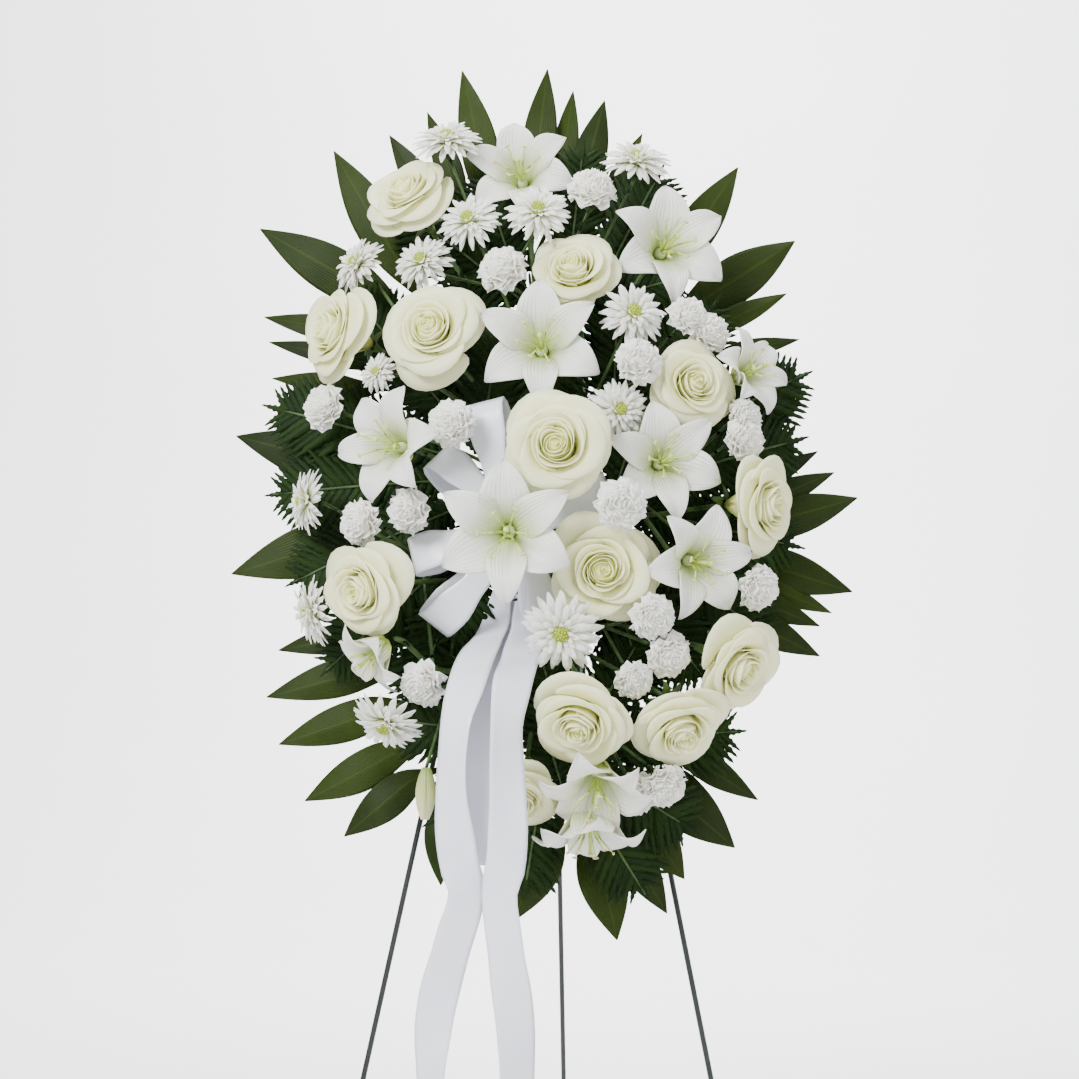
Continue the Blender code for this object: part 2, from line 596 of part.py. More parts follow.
def petal_section(angle, r, z, tr, tz, width, thick, camber=0.0, skew=0.0):
    """Four corners of a petal across its own way: edge, outer face, edge, inner face."""
    radial = Vector((math.cos(angle), math.sin(angle), 0))
    side = Vector((-math.sin(angle), math.cos(angle), 0))
    length = math.hypot(tr, tz)
    outer = (radial * tz - Vector((0, 0, 1)) * tr) / length
    middle = radial * r + Vector((0, 0, z))
    return [middle + side * width / 2 - outer * (camber - skew), middle + outer * thick / 2,
            middle - side * width / 2 - outer * (camber + skew), middle - outer * thick / 2]


def petal(bm, face, frame, size, angle, rows, thick, tip=None, lapped=False):
    """A petal from one face of the core. Rows are radius, height, width, camber and skew in widths."""
    sections = []
    before = frame.inverted() @ face.calc_center_median()
    last = (math.hypot(before.x, before.y), before.z)
    for r, z, width, camber, skew in rows:
        points = petal_section(angle, r * size, z * size, r * size - last[0], z * size - last[1],
                               width * size, thick, camber * size, skew * size)
        sections.append([frame @ p for p in points])
        last = (r * size, z * size)
    if tip:
        a = angle
        sections.append([frame @ Vector((tip[0] * size * math.cos(a), tip[0] * size * math.sin(a), tip[1] * size))])
    grow(bm, face, sections, lapped)


def core_rings(bloom, rows):
    """Six-sided rings of a bloom's core, from rows of height, radius and turn."""
    frame = bloom.frame()
    rings = []
    for z, r, turned in rows:
        ring = []
        for i in range(6):
            a = math.pi / 3 * i + turned * math.pi / 6
            ring.append(frame @ Vector((r * bloom.size * math.cos(a), r * bloom.size * math.sin(a), z * bloom.size)))
        rings.append(ring)
    return rings


def stem_rings(stem, bloom, first):
    """Rings from the foam, or from the fork for a side branch, up to the bloom's neck."""
    neck, fork = bloom.neck(), stem.fork
    thin, thick = STEM_R[bloom.kind], MAIN_R[stem.kind]
    turned = bloom.turn
    up = (neck - fork).normalized()
    rings = []

    def ring(centre, way, radius):
        swing = bloom.way.rotation_difference(way)
        points = []
        for i in range(6):
            a = math.pi / 3 * i
            points.append(centre + swing @ (turned @ Vector((math.cos(a) * radius, math.sin(a) * radius, 0))))
        return points

    if first:
        low = (fork - stem.end).normalized()
        rings.append(ring(stem.end, low, thick))
        rings.append(ring(fork, (low + up).normalized(), thick if len(stem.heads) > 1 else max(thin, thick * 0.9)))
    else:
        rings.append(ring(fork, up, thin * 0.9))
    if bloom.neck_length:
        rings.append(ring(neck, (up + bloom.way).normalized(), thin))
    return rings


ANGLES = [math.pi / 6 + math.pi / 3 * i for i in range(6)]


def build_rose(bm, stem, bloom, first):
    s = bloom.size
    frame = bloom.frame()
    rows = [(-0.44, 0.08, 0), (-0.28, 0.17, 0), (-0.04, 0.15, 0), (0.18, 0.12, 0), (0.34, 0.05, 0)]
    low = stem_rings(stem, bloom, first)
    bands, top = loft(bm, low + core_rings(bloom, rows))
    for band in bands[:len(low)]:
        for face in band:
            face.material_index = 1
    outer, middle, inner = bands[len(low)], bands[len(low) + 1], bands[len(low) + 2]
    for i, angle in enumerate(ANGLES):
        flare = 0.02 if i % 2 else -0.01
        petal(bm, outer[i], frame, s, angle,
              [(0.35, -0.15, 0.43, 0.07, 0.018), (0.47 + flare, 0.10 + flare, 0.42, 0.05, 0.022)], 0.0016,
              lapped=True)
        if i % 2:
            petal(bm, middle[i], frame, s, angle,
                  [(0.30, 0.24, 0.40, 0.10, 0.014)], 0.0016)
        else:
            petal(bm, inner[i], frame, s, angle,
                  [(0.185, 0.35, 0.22, 0.05, 0.008)], 0.0016)


def build_lily(bm, stem, bloom, first):
    s = bloom.size
    frame = bloom.frame()
    rows = [(-0.46, 0.034, 0), (-0.32, 0.055, 0), (-0.24, 0.062, 0)]
    low = stem_rings(stem, bloom, first)
    bands, top = loft(bm, low + core_rings(bloom, rows))
    for band in bands[:len(low)]:
        for face in band:
            face.material_index = 1
    for i, angle in enumerate(ANGLES):
        broad = i % 2
        rows = [(0.13, -0.13, 0.12, 0.010, 0), (0.30, 0.04 - 0.02 * broad, 0.29 if broad else 0.23, 0.020, 0)]
        petal(bm, bands[-1][i], frame, s, angle, rows, 0.0018, (0.50, -0.02 - 0.03 * broad))
    centre = bm.verts.new(frame @ Vector((0, 0, -0.21 * s)))
    ring = list(top.verts)
    bm.faces.remove(top)
    tris = [bm.faces.new([ring[i], ring[(i + 1) % 6], centre]) for i in range(6)]
    for face in tris[::2]:
        middle = frame.inverted() @ face.calc_center_median()
        a = math.atan2(middle.y, middle.x)
        end = Vector((0.13 * s * math.cos(a), 0.13 * s * math.sin(a), 0.10 * s))
        way = Vector((math.cos(a) * 0.3, math.sin(a) * 0.3, 1)).normalized()
        points = [frame @ p for p in ring_at(end, way, 0.0011, 3, a)]
        grow(bm, face, [points])


def build_carnation(bm, stem, bloom, first):
    s = bloom.size
    frame = bloom.frame()
    rows = [(-0.58, 0.07, 0), (-0.30, 0.14, 0), (-0.02, 0.22, 0), (0.22, 0.13, 0)]
    low = stem_rings(stem, bloom, first)
    bands, top = loft(bm, low + core_rings(bloom, rows))
    for band in bands[:len(low) + 1]:
        for face in band:
            face.material_index = 1
    lower, upper = bands[len(low) + 1], bands[len(low) + 2]
    for i, angle in enumerate(ANGLES):
        tilt = 0.05 if i % 2 else -0.05
        petal(bm, lower[i], frame, s, angle, [(0.47, -0.05 + tilt, 0.46, 0.06, tilt * 0.6)], 0.0018)
        if i % 2:
            petal(bm, upper[i], frame, s, angle, [(0.32, 0.30, 0.44, 0.09, 0.02)], 0.0018)
    grow(bm, top, [[frame @ Vector((0, 0, 0.34 * s))]])


def build_mum(bm, stem, bloom, first):
    s = bloom.size
    frame = bloom.frame()
    rows = [(-0.26, 0.045, 0), (-0.15, 0.15, 0), (-0.06, 0.19, 1), (0.03, 0.17, 2), (0.10, 0.09, 3)]
    low = stem_rings(stem, bloom, first)
    bands, top = loft(bm, low + core_rings(bloom, rows))
    for band in bands[:len(low)]:
        for face in band:
            face.material_index = 1
    for level, (r, z, width, tip_r, tip_z) in enumerate(
            [(0.36, -0.10, 0.17, 0.50, -0.06), (0.33, 0.02, 0.17, 0.47, 0.06), (0.22, 0.11, 0.13, 0.34, 0.19)]):
        for face in list(bands[len(low) + level]):
            middle = frame.inverted() @ face.calc_center_median()
            a = math.atan2(middle.y, middle.x)
            petal(bm, face, frame, s, a, [(r, z, width, 0.012, 0)] if level < 2 else [], 0.0016, (tip_r, tip_z))
    grow(bm, top, [[frame @ Vector((0, 0, 0.15 * s))]])


def build_bud(bm, stem, bloom, first):
    rows = [(-1.3, 0.12, 0), (-0.9, 0.34, 0), (0.0, 0.50, 0), (0.9, 0.36, 0), (1.35, 0.08, 0)]
    loft(bm, stem_rings(stem, bloom, first) + core_rings(bloom, rows))


BUILD = {"rose": build_rose, "lily": build_lily, "carnation": build_carnation, "mum": build_mum, "bud": build_bud}
PETALS = {"rose": ROSE, "lily": LILY, "carnation": CARNATION, "mum": MUM}


def peg(name, start, end, radius):
    """The plain hole that a stem stands in: its own line, a little wider and deeper."""
    bm = bmesh.new()
    way = (end - start).normalized()
    wide = (radius + GAP) / math.cos(math.pi / 4)
    loft(bm, [ring_at(start - way * 0.003, way, wide, 4), ring_at(end + way * 0.0006, way, wide, 4)])
    add(name, bm, group=cutters)


for stem in flowers:
    pieces = []
    for k, bloom in enumerate(stem.heads):
        bm = bmesh.new()
        BUILD[bloom.kind](bm, stem, bloom, k == 0)
        piece = add(stem.name if k == 0 else f"{stem.name}_{k}", bm, PETALS[stem.kind], STEM)
        pieces.append(piece)
    join(stem.name, pieces[0], pieces[1:])
    peg("hole_" + stem.name, stem.fork, stem.end, MAIN_R[stem.kind])

# Things to stay clear of, as balls, for the leaves that are placed next
def beads(start, end, radius):
    count = max(2, round((end - start).length / 0.004))
    return [[*start.lerp(end, i / count), radius] for i in range(count + 1)]


things = [list(ball) for ball in fixed]
for stem in flowers:
    for bloom in stem.heads:
        things += [[*(bloom.centre + Vector(b[:3])), b[3]] for b in bloom.balls]
        things += beads(bloom.base(), bloom.neck(), STEM_R[bloom.kind] + 0.0005)
        things += beads(bloom.neck(), stem.fork, STEM_R[bloom.kind] + 0.0005)
    things += beads(stem.fork, stem.end, MAIN_R[stem.kind] + 0.0005)
things = np.array(things)


def clearance(points):
    """How far each place is from the foam and from anything already there."""
    apart = np.linalg.norm(things[None, :, :3] - np.array(points)[:, None, :], axis=2) - things[None, :, 3]
    return np.minimum(apart.min(axis=1), [outside(p) for p in points])


def remember(points, radius):
    global things
    things = np.vstack([things, np.array([[*p, radius] for p in points])])


# Palm leaves
def blade(bm, path, widths, toward, thick):
    """A leaf from a path and its widths: lens-shaped across, with a fold along the middle."""
    rings = []
    for i, (p, w) in enumerate(zip(path[:-1], widths)):
        way = (path[i + 1] - path[max(i - 1, 0)]).normalized()
        side = way.cross(toward).normalized()
        face = side.cross(way).normalized()
        rings.append([p + side * w / 2 + face * w * 0.10, p + face * thick / 2,
                      p - side * w / 2 + face * w * 0.10, p - face * thick / 2])
    loft(bm, rings + [[path[-1]]], rising=(False, True, False, True))


def nearest_on(path, point):
    best = None
    for a, b in zip(path, path[1:]):
        t = min(max((point - a).dot(b - a) / (b - a).length_squared, 0), 1)
        q = a.lerp(b, t)
        if best is None or (q - point).length < (best - point).length:
            best = q
    return best


for name, stem_points, leaves in PALMS:
    path = [cm(x, z, lift) for x, z, lift in stem_points]
    bm = bmesh.new()
    rings = []
    for i, p in enumerate(path):
        way = (path[min(i + 1, len(path) - 1)] - path[max(i - 1, 0)]).normalized()
        rings.append(ring_at(p, way, 0.0024 - 0.0004 * i, 6))
    loft(bm, rings)
    main = add(name, bm, PALM, STEM)
    pieces = []
    for k, (rx, rz, tx, tz, width, lift) in enumerate(leaves):
        tip = cm(tx, tz, lift)
        root = cm(rx, rz, (lift + stem_points[-1][2]) / 2)
        start = nearest_on(path, root)
        if (root - start).length > 0.02:
            start = path[-1] - (path[-1] - path[-2]).normalized() * 0.002 if start == path[-1] else start
        along = tip - root
        bow = on_spray(0, 0, 0) - on_spray(0, 0.010, 0)
        line = [start, root + along * 0.14 - bow * 0.5, root + along * 0.52 - bow, tip]
        w = width / 100
        widths = [0.0034, w * 0.74, w * 1.04, 0]
        bm = bmesh.new()
        blade(bm, line, widths, Vector((0, -1, 0)), 0.0022)
        pieces.append(add(f"{name}_{k}", bm, PALM))
        across = along.cross(Vector((0, -1, 0))).normalized() * w
        for j, breadth in enumerate(((0.3, 0.9), (0.9, 1.0), (0.9, 0.1))):
            for t in (0.2, 0.4, 0.6, 0.8):
                wide = across * (breadth[0] + (breadth[1] - breadth[0]) * t)
                remember([line[j].lerp(line[j + 1], t) + wide * k for k in (-0.4, -0.2, 0, 0.2, 0.4)], 0.0035)
    join(name, main, pieces)
    peg("hole_" + name, path[0].lerp(path[1], 0.9), path[0], 0.0024)
    remember([path[0].lerp(path[1], t) for t in (0.4, 0.7, 1.0)], 0.004)


# Fern fronds
def frond(bm, start, base, tip, half, steps, radius):
    """A frond on a stalk from the foam. A leaflet is cut short where it would touch something."""
    way = (tip - base).normalized()
    toward = Vector((0, -1, 0.18)).normalized()
    side = way.cross(toward).normalized()
    face = side.cross(way).normalized()

    def slab(p, r):
        return [p + side * r + face * r, p - side * r + face * r, p - side * r - face * r, p + side * r - face * r]

    stations = [base.lerp(tip, i / steps) + face * 0.008 * math.sin(math.pi * i / steps) for i in range(steps + 1)]
    rings = [slab(start, radius)] + [slab(p, radius * (0.9 - 0.4 * i / steps)) for i, p in enumerate(stations)]
    bands, end = loft(bm, rings)
    taken = []
    for i in range(steps):
        share = 1 - i / steps
        length = half * (0.30 + 0.70 * math.sin(math.pi * (0.26 + 0.62 * share)))
        for sign, wall in ((1, 3), (-1, 1)):
            lean = (way * (0.50 + 0.5 * (1 - share)) + side * sign).normalized()
            root = bands[i + 1][wall].calc_center_median() + way * (tip - base).length / steps * 0.2
            ends = stations[i], root, stations[i + 1]
            for cut in (1.0, 0.85, 0.7, 0.55, 0.4, 0.28, 0.16):
                far = root + lean * length * cut
                spots = [p.lerp(far, t) for p in ends for t in (0.3, 0.5, 0.65, 0.8, 0.9, 1.0)]
                if clearance(spots).min() > 0.0025:
                    break
            taken += [p.lerp(far, t) for p in ends for t in (0.25, 0.5, 0.75, 1.0)]
            grow(bm, bands[i + 1][wall], [[far]])
    grow(bm, end, [[tip + way * 0.012]])
    return taken + stations


def clearest(start, base, tip, reach):
    """The frond's place moved a little, to where its stalk touches least."""
    best, least = (base, tip), None
    for dx in (0, -1, 1, -2, 2):
        for dz in (0, -1, 1, -2, 2):
            for dy in (0, -1, 1, -2):
                move = Vector((dx, dy * 0.8, dz)) * reach
                b, t = base + move * 0.6, tip + move
                line = [start.lerp(b, k) for k in (0.3, 0.45, 0.6, 0.8)]
                line += [b.lerp(t, k) for k in (0, 0.1, 0.2, 0.3, 0.4, 0.5, 0.6, 0.7, 0.8, 0.9, 1)]
                bad = np.maximum(0, 0.0040 - clearance(line)).sum() + 0.00005 * (abs(dx) + abs(dy) + abs(dz))
                if least is None or bad < least:
                    best, least = (b, t), bad
    return best


for name, foot, end, rows in FERNS:
    start, stub = cm(*foot), cm(*end)
    way = (stub - start).normalized()
    bm = bmesh.new()
    loft(bm, [ring_at(start, way, 0.0030), ring_at(stub, way, 0.0030)])
    main = add(name, bm, FERN, STEM)
    pieces = []
    taken = []
    for k, (bx, bz, bl, tx, tz, tl, half) in enumerate(rows):
        base, tip = clearest(stub, cm(bx, bz, bl), cm(tx, tz, tl), 0.008)
        bm = bmesh.new()
        taken += frond(bm, stub - way * 0.003, base, tip, half / 100, 4 if (tip - base).length < 0.14 else 5, 0.0015)
        pieces.append(add(f"{name}_{k}", bm, FERN, STEM))
    remember(taken, 0.004)
    join(name, main, pieces)
    peg("hole_" + name, stub, start, 0.0030)

# Foam: one long block with a plain hole for each stem
bm = bmesh.new()
half_w, half_h = FOAM_W / 2, FOAM_H / 2
box(bm, (-half_w, -FOAM_FRONT, -half_h), (half_w, -FOAM_BACK, half_h), PLANE)
foam = add("floral_foam", bm, FOAM)
cut = foam.modifiers.new("Stem_Holes", "BOOLEAN")
cut.operation = "DIFFERENCE"
cut.operand_type = "COLLECTION"
cut.collection = cutters
cut.solver = "MANIFOLD"

# Tray: a shallow back with a low lip, and a hook over the upper cross bar
bm = bmesh.new()
out_w, out_h = half_w + GAP + TRAY_WALL, half_h + GAP + TRAY_WALL
back = box(bm, (-out_w, -TRAY_BACK - TRAY_LIP, -out_h), (out_w, -TRAY_BACK, out_h), PLANE)
front = [f for f in bm.faces if f.calc_center_median().y < (PLANE @ Vector((0, -TRAY_BACK - TRAY_LIP * 0.9, 0))).y]
inset = bmesh.ops.inset_region(bm, faces=front, thickness=TRAY_WALL, depth=0)
sunk = bmesh.ops.extrude_face_region(bm, geom=front)
inward = PLANE.to_3x3() @ Vector((0, TRAY_LIP - TRAY_WALL, 0))
for v in [g for g in sunk["geom"] if isinstance(g, bmesh.types.BMVert)]:
    v.co += inward
bmesh.ops.delete(bm, geom=front, context="FACES")
tray = add("foam_tray", bm, TRAY)

BAR_LIFT = 2 * ROD_R + GAP
UPPER_BAR = 1.330
LOWER_BAR = 0.925
up = (UPPER_BAR - MIDDLE_Z) / math.cos(LEAN)
bm = bmesh.new()
hook_half = 0.010
thick = 0.003
inner = ROD_R + GAP
profile = [(-TRAY_BACK - 0.0006, up - 0.030), (-TRAY_BACK - 0.0006, up + inner + thick),
           (-BAR_LIFT + inner + thick, up + inner + thick), (-BAR_LIFT + inner + thick, up - 0.006),
           (-BAR_LIFT + inner, up - 0.006), (-BAR_LIFT + inner, up + inner), (-TRAY_BACK + 0.0, up + inner),
           (-TRAY_BACK + 0.0, up - 0.030)]
ends = [[PLANE @ Vector((x, y, z)) for y, z in profile] for x in (-hook_half, hook_half)]
loft(bm, ends)
hook = add("tray_hook", bm, TRAY)
join("foam_tray", tray, [hook])

# Easel rods
SIDES = 10


def rod(name, low, high, floor=False):
    bm = bmesh.new()
    way = (high - low).normalized()
    rings = [ring_at(low, way, ROD_R, SIDES), ring_at(high, way, ROD_R, SIDES)]
    if floor:
        rings[0] = [p - way * (p.z / way.z) for p in rings[0]]
    loft(bm, rings)
    return add(name, bm, STEEL, smooth=True)


def leg_at(side, z):
    return on_spray(side * HALF_FOOT * (1 - z / APEX_Z), 0, z)


left_leg = rod("front_leg_left", leg_at(-1, 0), leg_at(-1, LEG_TOP_Z), floor=True)
right_leg = rod("front_leg_right", leg_at(1, 0), leg_at(1, LEG_TOP_Z), floor=True)
for name, z in (("upper_cross_bar", UPPER_BAR), ("lower_cross_bar", LOWER_BAR)):
    reach = HALF_FOOT * (1 - z / APEX_Z) + 0.006
    lift = PLANE.to_3x3() @ Vector((0, -BAR_LIFT, 0))
    rod(name, on_spray(-reach, 0, z) + lift, on_spray(reach, 0, z) + lift)

# Top bracket with sockets for the front legs, ears for the pin and a stop behind the rear leg
bracket_y = APEX_Y + SHIFT.y
bm = bmesh.new()
box(bm, (-0.018 + SHIFT.x, bracket_y - 0.010, 1.436), (0.018 + SHIFT.x, bracket_y + 0.006, 1.470))
bracket = add("top_bracket", bm, STEEL)
ears = []
for side in (-1, 1):
    bm = bmesh.new()
    a, b = sorted((side * 0.0045, side * 0.0090))
    box(bm, (a + SHIFT.x, bracket_y + 0.004, 1.430), (b + SHIFT.x, PIVOT_Y + 0.016 + SHIFT.y, 1.4695))
    ears.append(add("ear", bm, STEEL))
bm = bmesh.new()
stop_y = PIVOT_Y + 0.012 + SHIFT.y
box(bm, (-0.006 + SHIFT.x, stop_y, 1.4305), (0.006 + SHIFT.x, stop_y + 0.0035, 1.439))
ears.append(add("stop", bm, STEEL))
join("top_bracket", bracket, ears)


def bore(bm, x0, x1, radius, sides=12):
    centre = Vector((SHIFT.x, PIVOT_Y + SHIFT.y, PIVOT_Z))
    way = Vector((1, 0, 0))
    loft(bm, [ring_at(centre + way * x0, way, radius, sides), ring_at(centre + way * x1, way, radius, sides)])


tools = bpy.data.collections.new("Bracket_Cutters")
tools.hide_render = True
bpy.context.scene.collection.children.link(tools)


def tool(name, bm):
    made = add(name, bm, group=tools)
    made.display_type = "WIRE"
    made.hide_render = True
    return made


for side in (-1, 1):
    bm = bmesh.new()
    low, high = leg_at(side, 1.40), leg_at(side, LEG_TOP_Z)
    way = (high - low).normalized()
    wide = (ROD_R + GAP) / math.cos(math.pi / SIDES)
    loft(bm, [ring_at(low, way, wide, SIDES), ring_at(high + way * GAP, way, wide, SIDES)])
    tool("leg_socket", bm)
bm = bmesh.new()
bore(bm, -0.02, 0.02, 0.0028)
tool("pin_bore", bm)
cut = bracket.modifiers.new("Sockets", "BOOLEAN")
cut.operation = "DIFFERENCE"
cut.operand_type = "COLLECTION"
cut.collection = tools
cut.solver = "MANIFOLD"

bm = bmesh.new()
bore(bm, -0.0115, 0.0115, 0.0025)
add("hinge_pin", bm, STEEL)

# Rear leg, which swings on the pin
pivot = Vector((SHIFT.x, PIVOT_Y + SHIFT.y, PIVOT_Z))
foot = Vector((SHIFT.x, REAR_FOOT_Y + SHIFT.y, 0))
way = (foot - pivot).normalized()
rear = rod("rear_leg", foot, pivot + way * 0.005, floor=True)
bm = bmesh.new()
bore(bm, -0.0041, 0.0041, 0.0068)
eye = add("eye", bm, STEEL)
join("rear_leg", rear, [eye])
rear.data.transform(Matrix.Translation(-pivot))
rear.location = pivot
rear_tools = bpy.data.collections.new("Rear_Leg_Cutters")
rear_tools.hide_render = True
bpy.context.scene.collection.children.link(rear_tools)
bm = bmesh.new()
bore(bm, -0.02, 0.02, 0.0028)
hole = add("eye_bore", bm, group=rear_tools)
hole.display_type = "WIRE"
hole.hide_render = True
cut = rear.modifiers.new("Eye", "BOOLEAN")
cut.operation = "DIFFERENCE"
cut.operand_type = "OBJECT"
cut.object = hole
cut.solver = "MANIFOLD"


# Ribbon: a bow of loops round a knot, on a wooden pick, with three tails
def strip(name, path, sides, widths):
    bm = bmesh.new()
    rings = []
    for i, p in enumerate(path):
        way = (path[min(i + 1, len(path) - 1)] - path[max(i - 1, 0)]).normalized()
        side = (sides[i] - sides[i].project(way)).normalized()
        face = side.cross(way)
        w, t = widths[i] / 2, RIBBON_T / 2
        rings.append([p + side * w + face * t, p - side * w + face * t,
                      p - side * w - face * t, p + side * w - face * t])
    loft(bm, rings, rising=(True, True, False, False))
    return add(name, bm, SATIN)


def tail(name, offset, rows):
    return strip(name, *tail_path(offset, rows))


bm = bmesh.new()
axis = bow_head.way
loft(bm, [ring_at(KNOT - axis * 0.013, axis, 0.013, 10), ring_at(KNOT + axis * 0.013, axis, 0.013, 10)])
bow = add("ribbon_bow", bm, SATIN)
loops = []
for k, reach in enumerate(LOOPS):
    points, away, widths = loop_points(reach)
    across = away.cross(axis).normalized()
    loops.append(strip(f"loop_{k}", points, [across] * len(points), widths))
join("ribbon_bow", bow, loops)
knot_tools = bpy.data.collections.new("Knot_Cutters")
knot_tools.hide_render = True
bpy.context.scene.collection.children.link(knot_tools)
bm = bmesh.new()
wide = (MAIN_R["lily"] + 0.0008) / math.cos(math.pi / 6)
loft(bm, [ring_at(KNOT - axis * 0.04, axis, wide), ring_at(KNOT + axis * 0.04, axis, wide)])
hole = add("knot_hole", bm, group=knot_tools)
hole.display_type = "WIRE"
hole.hide_render = True
cut = bow.modifiers.new("Lily_Stem", "BOOLEAN")
cut.operation = "DIFFERENCE"
cut.operand_type = "OBJECT"
cut.object = hole
cut.solver = "MANIFOLD"

for row in TAILS:
    tail(*row)

bm = bmesh.new()
way = (PICK_TOP - PICK_FOOT).normalized()
loft(bm, [ring_at(PICK_FOOT, way, 0.002, 8), ring_at(PICK_TOP, way, 0.002, 8)])
add("bow_pick", bm, WOOD)
peg("hole_bow_pick", PICK_TOP.lerp(PICK_FOOT, 0.1), PICK_FOOT, 0.002)
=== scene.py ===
# Standing funeral spray: an oval of white flowers, palm and fern in wet foam, with a satin bow, on a
# three-legged wire easel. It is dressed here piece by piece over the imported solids, in metres, +Z up.
import math
import random

import bmesh
import bpy
import numpy as np
from mathutils import Matrix, Quaternion, Vector
from mathutils.geometry import interpolate_bezier


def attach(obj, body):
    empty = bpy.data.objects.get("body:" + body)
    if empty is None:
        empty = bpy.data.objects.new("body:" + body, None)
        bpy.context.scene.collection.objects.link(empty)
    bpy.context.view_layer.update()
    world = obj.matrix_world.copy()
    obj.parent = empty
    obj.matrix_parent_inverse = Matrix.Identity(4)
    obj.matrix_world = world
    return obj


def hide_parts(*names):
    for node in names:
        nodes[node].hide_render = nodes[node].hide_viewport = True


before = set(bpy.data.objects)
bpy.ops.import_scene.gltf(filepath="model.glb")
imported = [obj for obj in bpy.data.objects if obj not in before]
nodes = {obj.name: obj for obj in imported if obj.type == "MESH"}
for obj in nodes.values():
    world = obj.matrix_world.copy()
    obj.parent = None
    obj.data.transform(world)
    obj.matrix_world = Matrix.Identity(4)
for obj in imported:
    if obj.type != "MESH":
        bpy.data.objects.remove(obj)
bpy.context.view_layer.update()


# Easel
# Three plain rods of 6.35 mm wire, two cross bars and a small head with the rear leg's pin. Mild steel,
# bent and welded, dipped in a dark green-black enamel that is a little uneven. The pin is zinc plated.
def finish(name, colour, roughness, metallic=0.0, **sockets):
    """A new material with its plain numbers on the shader's own sockets."""
    made = bpy.data.materials.new(name)
    made.use_nodes = True
    shader = made.node_tree.nodes["Principled BSDF"]
    shader.inputs["Base Color"].default_value = (*colour, 1)
    shader.inputs["Roughness"].default_value = roughness
    shader.inputs["Metallic"].default_value = metallic
    for socket, value in sockets.items():
        shader.inputs[socket.replace("_", " ")].default_value = value
    return made


def node(material, kind, inputs=(), **settings):
    """A shader node with its own settings. An input is a plain value or another node's output."""
    tree = material.node_tree
    made = tree.nodes.new("ShaderNode" + kind)
    for name, value in settings.items():
        setattr(made, name, value)
    for socket, value in dict(inputs).items():
        if isinstance(value, bpy.types.NodeSocket):
            tree.links.new(value, made.inputs[socket])
        else:
            made.inputs[socket].default_value = value
    return made


def grain(material, scale, detail, stretch=(1, 1, 1)):
    """Noise on Object coordinates, drawn out along an axis where stretch is small."""
    place = node(material, "TexCoord").outputs["Object"]
    mapped = node(material, "Mapping", {"Vector": place, "Scale": stretch}).outputs["Vector"]
    return node(material, "TexNoise", {"Vector": mapped, "Scale": scale, "Detail": detail}).outputs["Fac"]


def ramp(material, source, *stops):
    """The colours read along another node's output, from stops of a position and a colour."""
    made = node(material, "ValToRGB", {"Fac": source})
    elements = made.color_ramp.elements
    for k, (position, colour) in enumerate(stops):
        stop = elements[k] if k < len(elements) else elements.new(position)
        stop.position = position
        stop.color = (*colour, 1)
    return made.outputs["Color"]


def feed(material, socket, source):
    """Leads another node's output to the shader."""
    tree = material.node_tree
    tree.links.new(source, tree.nodes["Principled BSDF"].inputs[socket])


def raised(material, height, strength, depth):
    """A bump on the surface, from another node's output."""
    bump = node(material, "Bump", {"Height": height, "Strength": strength, "Distance": depth})
    feed(material, "Normal", bump.outputs["Normal"])


def mottle(material, low, high, scale, detail=3.0, stretch=(1, 1, 1), bump=0.0, depth=0.001):
    """Uneven colour between two tones, and a fine bump from the same grain."""
    noise = grain(material, scale, detail, stretch)
    feed(material, "Base Color", ramp(material, noise, (0.32, low), (0.68, high)))
    if bump:
        raised(material, noise, bump, depth)
    return material


def paint(material, *names):
    """Gives carried-over solids this material."""
    for name in names:
        for s in nodes[name].material_slots:
            s.material = material


enamel = mottle(finish("Easel_Enamel", (0.010, 0.014, 0.011), 0.42, Coat_Weight=0.10, Coat_Roughness=0.3),
                (0.007, 0.011, 0.008), (0.014, 0.020, 0.015), 60, bump=0.12, depth=0.0004)
zinc = mottle(finish("Pin_Zinc", (0.42, 0.43, 0.43), 0.35, 0.9),
              (0.34, 0.35, 0.35), (0.50, 0.51, 0.51), 220, bump=0.1, depth=0.0003)
paint(enamel, "front_leg_left", "front_leg_right", "rear_leg")
paint(enamel, "upper_cross_bar", "lower_cross_bar", "top_bracket")
paint(zinc, "hinge_pin")

# Foam, tray and pick
# A long block of green open-cell foam soaked in water, in a thin moulded plastic tray that hooks over
# the upper bar. A turned wooden pick holds the bow in the foam.
wet_foam = mottle(finish("Wet_Foam", (0.03, 0.10, 0.035), 0.92),
                  (0.018, 0.065, 0.024), (0.045, 0.125, 0.045), 420, 6.0, bump=0.5, depth=0.0015)
tray_plastic = mottle(finish("Tray_Plastic", (0.02, 0.07, 0.03), 0.42),
                      (0.016, 0.058, 0.025), (0.024, 0.08, 0.034), 35, bump=0.06, depth=0.0006)
pick_wood = mottle(finish("Pick_Wood", (0.55, 0.42, 0.25), 0.75),
                   (0.46, 0.34, 0.19), (0.62, 0.49, 0.31), 90, 4.0, (1, 1, 0.08), 0.25, 0.0004)
paint(wet_foam, "floral_foam")
paint(tray_plastic, "foam_tray")
paint(pick_wood, "bow_pick")

# Palm leaves
# Fans of long pointed palm leaflets on green stalks, pushed into the sides and ends of the foam. Each is
# a tough pleated blade, dark green and a little waxy, folded along its rib.
LEAF_STEPS, LEAF_THICKNESS, LEAF_BOW = 14, 0.0007, 0.010
STALK_STEPS, STALK_R, STALK_TAPER = 7, 0.0024, 0.00012
